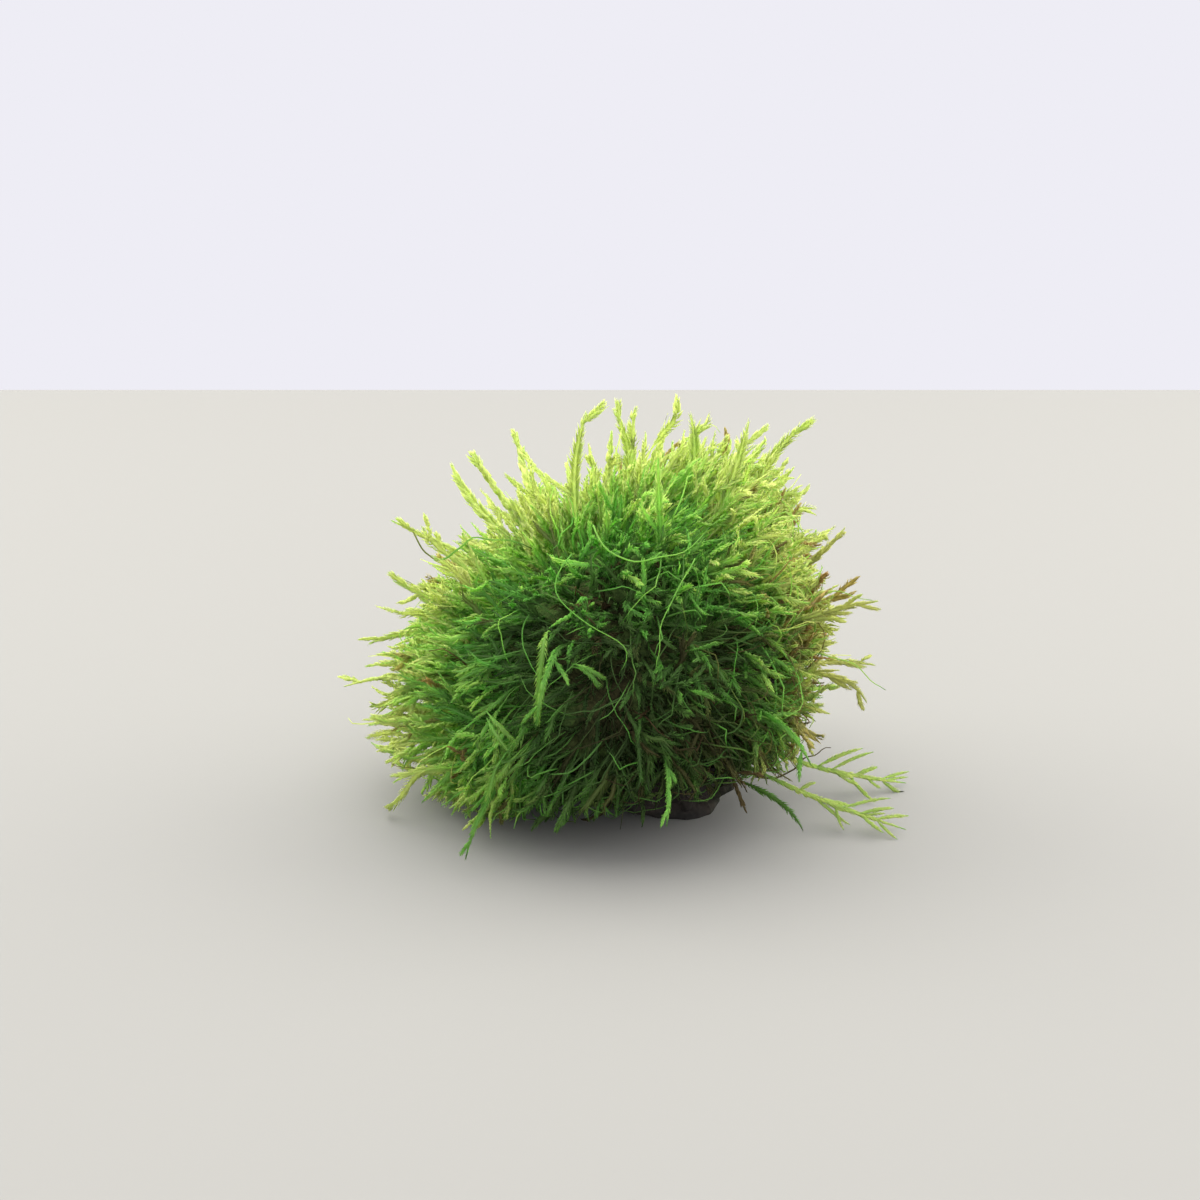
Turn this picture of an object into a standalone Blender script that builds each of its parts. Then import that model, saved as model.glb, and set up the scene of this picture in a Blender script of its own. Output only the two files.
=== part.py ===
"""Java moss growing over a lump of lava rock, at its real size, in metres with +Z up.

The rock is one rough, pitted lump that stands on a small flat spot. The moss is one mat, which wraps
the rock down to a skirt line, with a tuft fused to it wherever its shoots gather, and the longer
shoots that stand clear of the mat are pieces of their own. The origin is the middle of the whole
footprint, on the surface that the rock stands on. +X runs towards the shoots that trail along it.
"""

import math
import random
from dataclasses import dataclass

import bmesh
import bpy
from mathutils import Vector, noise
from mathutils.bvhtree import BVHTree

MM = 0.001
GOLDEN_ANGLE = math.pi * (3 - math.sqrt(5))
UP = Vector((0, 0, 1))

# The longest shoots end on these limits, so that the footprint is centred on the origin.
OVERALL_WIDTH = 84
OVERALL_DEPTH = 72
OVERALL_HEIGHT = 61

# The lava rock, in millimetres where it is a length.
ROCK_MIDDLE = Vector((4, -1, 15.5))
ROCK_HALF = Vector((17.5, 15.5, 17.5))
ROCK_LUMP_SHARE = 0.16
ROCK_LUMP_RATE = 1.3
ROCK_CRAG_SHARE = 0.07
ROCK_CRAG_RATE = 3.9
ROCK_NOISE_PLACE = Vector((4.2, 7.7, 1.3))
ROCK_REACH = 1.06
ROCK_BREAKS = 15
ROCK_BREAK_SCATTER = 0.3
ROCK_BREAK_REACH = (0.86, 1.02)
ROCK_SEED = 11
PIT_COUNT = 64
PIT_LOWEST = 2.5
PIT_DEPTH = (1.2, 2.4)
PIT_RIM = 0.45
PIT_WALL_SHARE = 0.55
PIT_NARROWING = 0.08

# The moss mat.
MAT_MIDDLE = Vector((0.5, 0, 22.5))
MAT_HALF = Vector((27, 25.5, 24))
MAT_LUMP_SHARE = 0.13
MAT_LUMP_RATE = 1.9
MAT_RUFFLE_SHARE = 0.06
MAT_RUFFLE_RATE = 5.5
MAT_NOISE_PLACE = Vector((1.7, 3.1, 9.4))
SKIRT_HEIGHT = 2.8
SKIRT_RISE = Vector((0.065, -0.06))
HOLLOW_MARGIN = 0.6

# The tufts of the mat: full locks first, then single points in the gaps between them. Each ring of
# a tuft is its share of the way to the tip and its size as a share of the tuft's root.
LOCK_COUNT = 150
POINT_COUNT = 110
TUFT_SEED = 5
LOCK_LENGTH = 8.0
POINT_LENGTH = 5.0
LONGER_LEFT = 0.4
LONGER_ON_TOP = 0.05
LENGTH_SPREAD = 0.3
TUFT_LOWEST = 5.5
TUFT_TO_SHOOT = 1.4
TUFT_HIGHEST = 58.5
TUFT_FLOOR = 1.8
LOCK_RADIUS = 4.2
LOCK_RINGS = ((0.45, 0.72), (1.0, 0.22))
POINT_RADIUS = 2.2
POINT_RINGS = ((1.0, 0.4),)
LEAN_UP = 0.35
SAG = 0.45
SWIRL = 0.8
SWIRL_RATE = 0.075
SWIRL_PLACES = (Vector((0, 0, 0)), Vector((31, 0, 7)), Vector((0, 17, 43)))

# The shoots: each is a flat, tapering strip, as wide as its leaves reach.
SHOOT_THICKNESS_SHARE = 0.42
SHOOT_SIDES = 4
SHOOT_RINGS = 6
SHOOT_GAP = 0.4
PATH_STEPS = 60
ROOT_SIZE = 0.6
TIP_SIZE = 0.3
FULL_FROM = 0.3
FULL_TO = 0.6
BRANCH_SPREAD = math.radians(48)
BRANCH_RINGS = ((0.35, 0.9), (0.75, 0.6), (1.0, 0.2))
LATEST_ROOT = 0.9


@dataclass(frozen=True)
class Shoot:
    """One long shoot, in millimetres: it bends from an anchor in the mat to its tip.

    branches gives, for each side branch, its share of the way along and its length.
    """

    name: str
    anchor: tuple
    bend: tuple
    tip: tuple
    half_width: float = 0.95
    branches: tuple = ()

    def point(self, share):
        """Point at a share of the way from the anchor to the tip."""
        rest = 1 - share
        anchor, bend, tip = (Vector(end) for end in (self.anchor, self.bend, self.tip))
        return anchor * rest * rest + bend * 2 * rest * share + tip * share * share


SHOOTS = (
    Shoot("left_shoot_1", (-20, 0, 19), (-33, 0, 21), (-OVERALL_WIDTH / 2, 0, 18), 1.1),
    Shoot("left_shoot_2", (-18, 5, 23), (-31, 7, 26), (-39, 7, 22)),
    Shoot("left_shoot_3", (-18, -6, 14), (-30, -8, 17), (-38, -8, 15), 1.1),
    Shoot("left_shoot_4", (-16, -9, 8), (-27, -14, 13), (-34, -15, 9)),
    Shoot("left_shoot_5", (-15, -3, 29), (-25, -4, 31), (-34, -4, 36), 0.7),
    Shoot("left_shoot_6", (-14, 12, 28), (-27, 17, 34), (-36, 18, 38)),
    Shoot("left_shoot_7", (-14, 14, 12), (-28, 17, 18), (-37, 19, 14)),
    Shoot("crown_shoot_1", (-13, 5, 36), (-23, 7, 42), (-26, 8, 50), 0.8),
    Shoot("crown_shoot_2", (-9, -3, 38), (-18, -3, 46), (-22, -3, 55)),
    Shoot("crown_shoot_3", (-7, -3, 40), (-9, -3, 53), (-6, -3, OVERALL_HEIGHT), 1.1),
    Shoot("crown_shoot_4", (1, 7, 38), (2, 9, 50), (-2, 9, 58)),
    Shoot("crown_shoot_5", (5, -10, 40), (4, -13, 50), (4, -12, 57), 0.8),
    Shoot("crown_shoot_6", (7, 3, 40), (11, 3, 51), (9, 3, 59)),
    Shoot("crown_shoot_7", (10, -3, 38), (15, -4, 50), (17, -4, 60), 1.1),
    Shoot("crown_shoot_8", (14, 6, 38), (19, 8, 51), (27, 8, 57), 0.7),
    Shoot("right_shoot_1", (14, 4, 28), (26, 5, 33), (32, 5, 41)),
    Shoot("right_shoot_2", (14, -5, 26), (28, -7, 33), (36, -7, 34), 0.6),
    Shoot("right_shoot_3", (14, -4, 19), (31, -6, 26), (35, -6, 18)),
    Shoot("right_shoot_4", (14, 8, 15), (28, 11, 19), (38, 11, 17), 0.7),
    Shoot(
        "trailing_shoot_1",
        (18, 0, 9),
        (29, 1, 3.2),
        (OVERALL_WIDTH / 2, 1, 1.6),
        1.1,
        ((0.45, 4.5), (0.6, 4.0), (0.75, 3.0)),
    ),
    Shoot(
        "trailing_shoot_2",
        (18, -8, 8),
        (28, -10, 3.4),
        (40, -15, 1.6),
        1.1,
        ((0.4, 4.5), (0.58, 4.5), (0.75, 3.0)),
    ),
    Shoot("front_shoot_1", (-9, -16, 31), (-12, -35, 36), (-13, -33, 22), 1.1),
    Shoot("front_shoot_2", (-15, -14, 12), (-21, -25, 12), (-23, -28, 3)),
    Shoot("front_shoot_3", (4, -16, 16), (6, -30, 19), (5, -OVERALL_DEPTH / 2, 12)),
    Shoot("front_shoot_4", (15, -12, 20), (22, -24, 24), (25, -29, 18), 0.8),
    Shoot("back_shoot_1", (-5, 16, 16), (-8, 29, 22), (-9, OVERALL_DEPTH / 2, 19), 1.1),
    Shoot("back_shoot_2", (8, 16, 26), (12, 28, 31), (15, 34, 36)),
    Shoot("back_shoot_3", (-10, 12, 34), (-16, 22, 42), (-17, 28, 49), 0.8),
    Shoot("back_shoot_4", (14, 12, 12), (22, 24, 14), (26, 31, 9)),
)


def new_material(name, colour, roughness):
    """Make a Principled material of one colour."""
    material = bpy.data.materials.new(name)
    material.use_nodes = True
    shader = material.node_tree.nodes["Principled BSDF"]
    shader.inputs["Base Color"].default_value = (*colour, 1)
    shader.inputs["Roughness"].default_value = roughness
    shader.inputs["Metallic"].default_value = 0.0
    return material


def new_object(bm, name, material=None):
    """Turn a bmesh in millimetres into an object of that name, in metres."""
    bmesh.ops.recalc_face_normals(bm, faces=bm.faces)
    bmesh.ops.scale(bm, vec=Vector((MM, MM, MM)), verts=bm.verts)
    mesh = bpy.data.meshes.new(name)
    bm.to_mesh(mesh)
    bm.free()
    if material:
        mesh.materials.append(material)
    body = bpy.data.objects.new(name, mesh)
    bpy.context.scene.collection.objects.link(body)
    return body


def ball_direction(index, count):
    """Unit direction number index of count that are spread evenly over a ball."""
    height = 1 - 2 * (index + 0.5) / count
    ring = math.sqrt(1 - height * height)
    turn = index * GOLDEN_ANGLE
    return Vector((ring * math.cos(turn), ring * math.sin(turn), height))


def rock_breaks():
    """The broken faces of the rock, each a direction and its distance from the middle."""
    rng = random.Random(ROCK_SEED)
    breaks = []
    for index in range(ROCK_BREAKS):
        scatter = Vector([rng.uniform(-ROCK_BREAK_SCATTER, ROCK_BREAK_SCATTER) for _ in range(3)])
        direction = (ball_direction(index, ROCK_BREAKS) + scatter).normalized()
        breaks.append((direction, rng.uniform(*ROCK_BREAK_REACH)))
    return breaks


BREAKS = rock_breaks()


def rock_point(direction):
    """Point of the rock's rough form, seen from its middle, before pits and the flat spot."""
    lumps = ROCK_LUMP_SHARE * noise.noise(direction * ROCK_LUMP_RATE + ROCK_NOISE_PLACE)
    crags = ROCK_CRAG_SHARE * noise.noise(direction * ROCK_CRAG_RATE + ROCK_NOISE_PLACE)
    reach = ROCK_REACH + lumps
    for face_direction, distance in BREAKS:
        facing = direction.dot(face_direction)
        if facing > 0.1:
            reach = min(reach, distance / facing)
    reach += crags
    return ROCK_MIDDLE + Vector(d * h for d, h in zip(direction, ROCK_HALF)) * reach


def mat_point(direction):
    """Point of the mat's lumpy outside, seen from its middle."""
    lumps = MAT_LUMP_SHARE * noise.noise(direction * MAT_LUMP_RATE + MAT_NOISE_PLACE)
    lumps += MAT_RUFFLE_SHARE * noise.noise(direction * MAT_RUFFLE_RATE + MAT_NOISE_PLACE)
    return MAT_MIDDLE + Vector(d * h for d, h in zip(direction, MAT_HALF)) * (1 + lumps)


def shaped_ball(subdivisions, point_of, margin=0.0):
    """A ball of triangles, each vertex moved to point_of its direction and out by a margin."""
    bm = bmesh.new()
    bmesh.ops.create_icosphere(bm, subdivisions=subdivisions, radius=1)
    for vert in bm.verts:
        direction = vert.co.normalized()
        vert.co = point_of(direction) + direction * margin
    bm.normal_update()
    return bm


def cut_flat(bm, middle, normal):
    """Cut off what lies below a plane, and close the cut with one flat face."""
    geometry = bm.verts[:] + bm.edges[:] + bm.faces[:]
    cut = bmesh.ops.bisect_plane(
        bm, geom=geometry, dist=1e-5, plane_co=middle, plane_no=normal, clear_inner=True
    )
    rim = [item for item in cut["geom_cut"] if isinstance(item, bmesh.types.BMEdge)]
    bmesh.ops.edgeloop_fill(bm, edges=rim)
    bm.normal_update()


def press_pits(bm):
    """Press open gas pits into the rock, each a ring of six faces round one vertex."""
    rng = random.Random(ROCK_SEED)
    candidates = [v for v in bm.verts if v.co.z > PIT_LOWEST and len(v.link_faces) == 6]
    rng.shuffle(candidates)
    taken = set()
    made = 0
    for middle in candidates:
        fan = list(middle.link_faces)
        corners = {v for face in fan for v in face.verts}
        if made == PIT_COUNT or corners & taken or min(v.co.z for v in corners) < PIT_LOWEST:
            continue
        taken |= corners
        made += 1
        inward = middle.normal.copy() * -rng.uniform(*PIT_DEPTH)
        bmesh.ops.inset_region(bm, faces=fan, thickness=PIT_RIM, use_even_offset=True)
        ring = {v for face in middle.link_faces for v in face.verts} - {middle}
        middle.co += inward
        for vert in ring:
            vert.co += inward * PIT_WALL_SHARE + (middle.co - vert.co) * PIT_NARROWING


def make_rock(material):
    """The lava rock: a pitted lump with broken faces and a small flat spot to stand on."""
    bm = shaped_ball(4, rock_point)
    cut_flat(bm, Vector((0, 0, 0)), UP)
    press_pits(bm)
    return new_object(bm, "lava_rock", material)


def make_hollow():
    """The cutter that makes room in the mat for the rock."""
    hollow = new_object(shaped_ball(4, rock_point, HOLLOW_MARGIN), "rock_hollow")
    hollow.hide_render = True
    hollow.display_type = "WIRE"
    return hollow


def grow(bm, face, path, sizes):
    """Extrude a face along a path and close it in a point.

    Every ring has the shape of the first face, turned to follow the path. sizes gives each ring's
    size as a share of the first face.
    """
    face.normal_update()
    centre, size, heading = face.calc_center_median(), 1.0, face.normal.copy()
    for point, next_size in zip(path, sizes):
        direction = (point - centre).normalized()
        turn = heading.rotation_difference(direction)
        face = bmesh.ops.extrude_discrete_faces(bm, faces=[face])["faces"][0]
        for vert in face.verts:
            vert.co = point + turn @ (vert.co - centre) * (next_size / size)
        centre, size, heading = point, next_size, direction
    bmesh.ops.pointmerge(bm, verts=face.verts[:], merge_co=centre)


def tuft_path(rng, start, length, rings):
    """Points of a tuft that grows outwards, up to the light on top and sagging on the sides."""
    outward = (start - MAT_MIDDLE).normalized()
    length *= 1 + LONGER_LEFT * max(-outward.x, 0) + LONGER_ON_TOP * max(outward.z, 0)
    length *= 1 + rng.uniform(-LENGTH_SPREAD, LENGTH_SPREAD)
    swirl = Vector([noise.noise(start * SWIRL_RATE + place) for place in SWIRL_PLACES]) * SWIRL
    heading = (outward + swirl - outward * swirl.dot(outward)).normalized()
    lean = UP * (LEAN_UP * max(outward.z, 0) - SAG * (1 - abs(outward.z)))
    rise = (heading + lean).z * length
    length *= min(1, (TUFT_HIGHEST - start.z) / max(rise, MM))
    path = [start + (heading * share + lean * share * share) * length for share, _ in rings]
    for point in path:
        point.z = max(point.z, TUFT_FLOOR)
    return path


def is_clear(path, rings, radius):
    """Whether the rings of a tuft along a path keep off every long shoot."""
    shoot_points = [shoot.point(step / PATH_STEPS) for shoot in SHOOTS for step in range(PATH_STEPS + 1)]
    reaches = [size * radius + TUFT_TO_SHOOT for _, size in rings]
    return all(
        (centre - point).length > reach for centre, reach in zip(path, reaches) for point in shoot_points
    )


def grow_tufts(bm):
    """Grow locks out of rings of faces round one vertex of the mat, then points out of single faces."""
    rng = random.Random(TUFT_SEED)
    taken = {face for face in bm.faces if len(face.verts) > 3}
    locks, points = [], []
    candidates = [vert for vert in bm.verts if len(vert.link_faces) > 4 and vert.co.z > TUFT_LOWEST]
    rng.shuffle(candidates)
    for vert in candidates:
        path = tuft_path(rng, vert.co.copy(), LOCK_LENGTH, LOCK_RINGS)
        if len(locks) == LOCK_COUNT or not taken.isdisjoint(vert.link_faces):
            continue
        if is_clear(path, LOCK_RINGS, LOCK_RADIUS):
            taken.update(vert.link_faces)
            locks.append((vert, path))
    singles = [face for face in bm.faces if face not in taken and face.calc_center_median().z > TUFT_LOWEST]
    rng.shuffle(singles)
    for face in singles:
        path = tuft_path(rng, face.calc_center_median(), POINT_LENGTH, POINT_RINGS)
        if len(points) < POINT_COUNT and is_clear(path, POINT_RINGS, POINT_RADIUS):
            points.append((face, path))

    for face, path in points:
        grow(bm, face, path, [size for _, size in POINT_RINGS])
    for middle, path in locks:
        face = bmesh.ops.dissolve_faces(bm, faces=list(middle.link_faces))["region"][0]
        grow(bm, face, path, [size for _, size in LOCK_RINGS])


def make_mat(material):
    """The moss mat with its tufts, and a search tree of its outside."""
    bm = shaped_ball(4, mat_point)
    skirt_normal = Vector((-SKIRT_RISE.x, -SKIRT_RISE.y, 1)).normalized()
    cut_flat(bm, Vector((0, 0, SKIRT_HEIGHT)), skirt_normal)
    grow_tufts(bm)
    bm.normal_update()
    outside = BVHTree.FromBMesh(bm)
    mat = new_object(bm, "moss_mat", material)
    room = mat.modifiers.new("room for the rock", "BOOLEAN")
    room.operation = "DIFFERENCE"
    room.object = make_hollow()
    return mat, outside


def clear_path(shoot, outside):
    """The shoot's path from where it leaves the mat to its tip."""
    root = 1.0
    while outside.find_nearest(shoot.point(root))[3] > shoot.half_width + SHOOT_GAP:
        root -= 1 / PATH_STEPS
    if root > LATEST_ROOT:
        raise ValueError(f"{shoot.name} hardly leaves the mat: {root:.2f}")
    root += 1 / PATH_STEPS
    return [shoot.point(root + (1 - root) * ring / SHOOT_RINGS) for ring in range(SHOOT_RINGS + 1)]


def shoot_size(share):
    """A shoot's size along it: narrow at the root, full in the middle, and narrow at the tip."""
    if share < FULL_FROM:
        return ROOT_SIZE + (1 - ROOT_SIZE) * share / FULL_FROM
    return 1 - (1 - TIP_SIZE) * max(0, share - FULL_TO) / (1 - FULL_TO)


def start_ring(bm, half_width, centre, direction):
    """The flat face that a shoot is grown from: a flattened ring across its direction."""
    ring = bmesh.ops.create_circle(bm, cap_ends=True, segments=SHOOT_SIDES, radius=half_width)
    across = direction.cross(UP).normalized()
    through = across.cross(direction)
    for vert in ring["verts"]:
        x, y = vert.co.x, vert.co.y * SHOOT_THICKNESS_SHARE
        vert.co = centre + across * x + through * y
    bm.normal_update()
    face = ring["verts"][0].link_faces[0]
    if face.normal.dot(direction) < 0:
        face.normal_flip()
    return face


def grow_branches(bm, shoot, path):
    """Grow the side branches out of the shoot's edges, left and right in turn."""
    for number, (share, length) in enumerate(shoot.branches):
        ring = min(int(share * len(path)), len(path) - 2)
        along = (path[ring + 1] - path[ring]).normalized()
        side = along.cross(UP).normalized() * (1 if number % 2 else -1)
        middle = (path[ring] + path[ring + 1]) / 2
        reach = middle + side * shoot.half_width
        face = min(bm.faces, key=lambda f: (f.calc_center_median() - reach).length)
        start = face.calc_center_median()
        heading = side * math.sin(BRANCH_SPREAD) + along * math.cos(BRANCH_SPREAD)
        points = [start + heading * length * share for share, _ in BRANCH_RINGS]
        grow(bm, face, points, [size for _, size in BRANCH_RINGS])


def make_shoot(shoot, outside, material):
    """One long shoot as a flat, tapering strip with its side branches fused to it."""
    path = clear_path(shoot, outside)
    bm = bmesh.new()
    face = start_ring(bm, shoot.half_width * ROOT_SIZE, path[0], (path[1] - path[0]).normalized())
    sizes = [shoot_size(ring / SHOOT_RINGS) / ROOT_SIZE for ring in range(1, SHOOT_RINGS + 1)]
    grow(bm, face, path[1:], sizes)
    bmesh.ops.holes_fill(bm, edges=[edge for edge in bm.edges if edge.is_boundary])
    bmesh.ops.recalc_face_normals(bm, faces=bm.faces)
    grow_branches(bm, shoot, path)
    return new_object(bm, shoot.name, material)


def main():
    """Build the rock, the mat that wraps it, and the shoots that stand clear of the mat."""
    for old in list(bpy.data.objects):
        bpy.data.objects.remove(old)
    rock_colour = new_material("lava rock", (0.045, 0.036, 0.03), 0.95)
    mat_green = new_material("moss mat", (0.06, 0.15, 0.02), 0.8)
    shoot_green = new_material("moss shoot", (0.2, 0.4, 0.05), 0.7)
    make_rock(rock_colour)
    _, outside = make_mat(mat_green)
    for shoot in SHOOTS:
        make_shoot(shoot, outside, shoot_green)


main()
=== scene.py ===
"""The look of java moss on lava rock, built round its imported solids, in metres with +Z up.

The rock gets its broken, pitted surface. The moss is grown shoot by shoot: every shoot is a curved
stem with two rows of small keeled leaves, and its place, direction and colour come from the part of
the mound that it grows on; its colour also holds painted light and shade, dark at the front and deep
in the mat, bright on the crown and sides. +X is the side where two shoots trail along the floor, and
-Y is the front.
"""

import logging
import math
from dataclasses import dataclass
from enum import Enum

import bmesh
import bpy
import numpy as np
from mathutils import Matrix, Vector, kdtree, noise


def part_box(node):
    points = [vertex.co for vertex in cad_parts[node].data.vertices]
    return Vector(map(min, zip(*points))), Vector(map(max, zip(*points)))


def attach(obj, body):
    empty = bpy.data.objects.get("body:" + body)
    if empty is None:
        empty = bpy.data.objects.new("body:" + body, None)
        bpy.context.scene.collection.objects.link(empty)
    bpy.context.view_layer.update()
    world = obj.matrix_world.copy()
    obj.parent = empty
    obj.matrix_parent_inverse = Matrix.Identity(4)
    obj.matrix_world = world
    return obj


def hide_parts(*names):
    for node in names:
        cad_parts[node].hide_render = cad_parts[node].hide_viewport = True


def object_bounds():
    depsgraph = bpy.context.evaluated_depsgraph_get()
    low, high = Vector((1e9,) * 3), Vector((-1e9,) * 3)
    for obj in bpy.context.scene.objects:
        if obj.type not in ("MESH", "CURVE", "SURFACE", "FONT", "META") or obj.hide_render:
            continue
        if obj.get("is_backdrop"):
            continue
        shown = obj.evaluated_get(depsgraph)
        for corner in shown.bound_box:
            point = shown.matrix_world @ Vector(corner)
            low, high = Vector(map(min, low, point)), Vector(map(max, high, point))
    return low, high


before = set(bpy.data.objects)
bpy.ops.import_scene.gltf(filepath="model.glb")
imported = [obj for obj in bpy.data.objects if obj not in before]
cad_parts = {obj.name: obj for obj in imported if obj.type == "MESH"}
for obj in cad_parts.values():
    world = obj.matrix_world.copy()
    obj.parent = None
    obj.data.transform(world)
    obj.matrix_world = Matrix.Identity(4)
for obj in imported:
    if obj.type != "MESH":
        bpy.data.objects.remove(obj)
CAD_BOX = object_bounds()

LOG = logging.getLogger("moss")
MM = 0.001
BODY = "root"
GOLDEN_ANGLE = math.pi * (3 - math.sqrt(5))
MOST_TRIANGLES = 200_000
FLOOR_GAP = 0.05
GROWTH = "growth"


class Zone(Enum):
    """The parts of the mound that the moss is split into, each a piece of its own."""

    CROWN_LEFT = "crown_left_moss"
    CROWN_RIGHT = "crown_right_moss"
    LEFT = "left_moss"
    RIGHT = "right_moss"
    FRONT = "front_moss"
    BACK = "back_moss"
    FRONT_SKIRT = "front_skirt_moss"
    BACK_SKIRT = "back_skirt_moss"


@dataclass(frozen=True)
class Region:
    """How the moss grows round one direction from the mound's middle. Lengths are in millimetres.

    dense is how far the closed growth reaches and tips how far its longest shoots do. flow is where the
    shoots bend to and lay is how flat they lie, from 0, straight out, to 1. tangle turns them aside at
    random, and light is how bright they are: partly young fresh growth, partly painted light and shade,
    dark at the shaded front and bright on the lit crown and sides. dry is the share of brown ones, and hem
    is the height above the floor that the growth hangs down to.
    """

    toward: tuple[float, float, float]
    dense: float
    tips: float
    flow: tuple[float, float, float]
    lay: float
    tangle: float
    light: float
    dry: float
    hem: float


REGIONS: tuple[Region, ...] = (
    Region((-0.05, 0.3, 0.95), 26.5, 37.0, (0.3, -0.1, 0.3), 0.3, 0.35, 0.95, 0.0, 2.0),
    Region((0.42, 0.25, 0.87), 41.0, 43.0, (0.9, 0.0, 0.4), 0.5, 0.3, 1.08, 0.0, 2.0),
    Region((0.85, 0.1, 0.5), 29.0, 34.0, (0.6, 0.0, 0.5), 0.45, 0.5, 1.05, 0.14, 2.0),
    Region((1.0, 0.0, 0.0), 26.5, 32.0, (0.3, -0.1, 0.4), 0.5, 0.7, 0.95, 0.4, 7.0),
    Region((0.85, -0.2, -0.5), 27.0, 30.0, (0.2, 0.0, -0.7), 0.6, 0.8, 0.7, 0.5, 9.5),
    Region((-0.6, 0.15, 0.78), 26.0, 38.0, (-0.5, 0.0, 0.7), 0.4, 0.3, 0.9, 0.02, 2.0),
    Region((-0.93, 0.1, 0.35), 29.5, 38.0, (-1.0, 0.0, 0.1), 0.4, 0.3, 0.9, 0.02, 2.0),
    Region((-1.0, 0.0, -0.05), 36.0, 42.0, (-1.0, 0.0, -0.15), 0.4, 0.25, 0.95, 0.06, 1.0),
    Region((-0.9, -0.15, -0.42), 37.0, 41.0, (-0.8, 0.0, -0.5), 0.6, 0.3, 0.92, 0.1, 1.0),
    Region((-0.55, -0.6, -0.6), 29.0, 32.5, (-0.5, 0.0, -0.9), 0.8, 0.3, 0.66, 0.1, 1.6),
    Region((-0.65, -0.75, 0.1), 29.0, 32.0, (-1.0, 0.0, -0.2), 0.8, 0.35, 0.63, 0.03, 2.0),
    Region((0.0, -0.6, 0.8), 27.5, 31.0, (0.3, -0.3, 0.2), 0.65, 0.8, 0.6, 0.05, 2.0),
    Region((0.0, -1.0, 0.2), 26.5, 29.0, (0.2, 0.0, -0.4), 0.8, 1.4, 0.2, 0.2, 3.0),
    Region((-0.32, -0.77, 0.52), 27.0, 30.0, (-0.2, -0.1, 0.0), 0.75, 1.1, 0.26, 0.1, 2.5),
    Region((0.65, -0.75, 0.1), 26.5, 29.0, (0.4, 0.0, -0.1), 0.8, 1.0, 0.54, 0.36, 6.0),
    Region((-0.28, -0.72, -0.64), 26.5, 29.5, (-0.3, -0.1, -1.0), 0.85, 0.4, 0.4, 0.28, 7.0),
    Region((0.0, -0.75, -0.65), 25.5, 27.5, (0.0, -0.2, -1.0), 0.9, 0.45, 0.35, 0.36, 9.0),
    Region((0.55, -0.6, -0.6), 24.5, 26.5, (0.2, -0.1, -0.8), 0.85, 0.7, 0.37, 0.5, 12.0),
    Region((0.0, 1.0, 0.2), 28.0, 34.0, (0.2, 0.3, 0.4), 0.5, 0.5, 0.75, 0.04, 2.0),
    Region((0.0, 0.8, -0.6), 27.0, 31.0, (0.0, 0.2, -0.8), 0.7, 0.4, 0.5, 0.08, 1.5),
)
MIDDLE_ACROSS = 0.5
MIDDLE_HEIGHT_SHARE = 0.36
NOISE_GAIN = 1.6


def unit(vectors: np.ndarray) -> np.ndarray:
    """Scale each row to length one."""
    return vectors / np.maximum(np.linalg.norm(vectors, axis=1), 1e-12)[:, None]


def mesh_of(bm: bmesh.types.BMesh, name: str) -> bpy.types.Mesh:
    """Turn a bmesh into a mesh.

    Args:
        bm: The bmesh, which is freed.
        name: The mesh's name.

    Returns:
        The new mesh.
    """
    mesh = bpy.data.meshes.new(name)
    bm.to_mesh(mesh)
    bm.free()
    return mesh


def place_object(name: str, data: bpy.types.ID) -> bpy.types.Object:
    """Put a mesh, a lamp or a camera into the scene as an object.

    Args:
        name: The object's name.
        data: What it shows.

    Returns:
        The new object.
    """
    placed = bpy.data.objects.new(name, data)
    bpy.context.scene.collection.objects.link(placed)
    return placed


def keep_growth(mesh: bpy.types.Mesh, values: np.ndarray) -> None:
    """Keep four values for each point of a mesh, where the finishes read them; the first is how light the
    point is, painted light and shade included.
    """
    layer = mesh.color_attributes.new(GROWTH, "FLOAT_COLOR", "POINT")
    layer.data.foreach_set("color", values.astype(np.float32).ravel())


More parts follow.
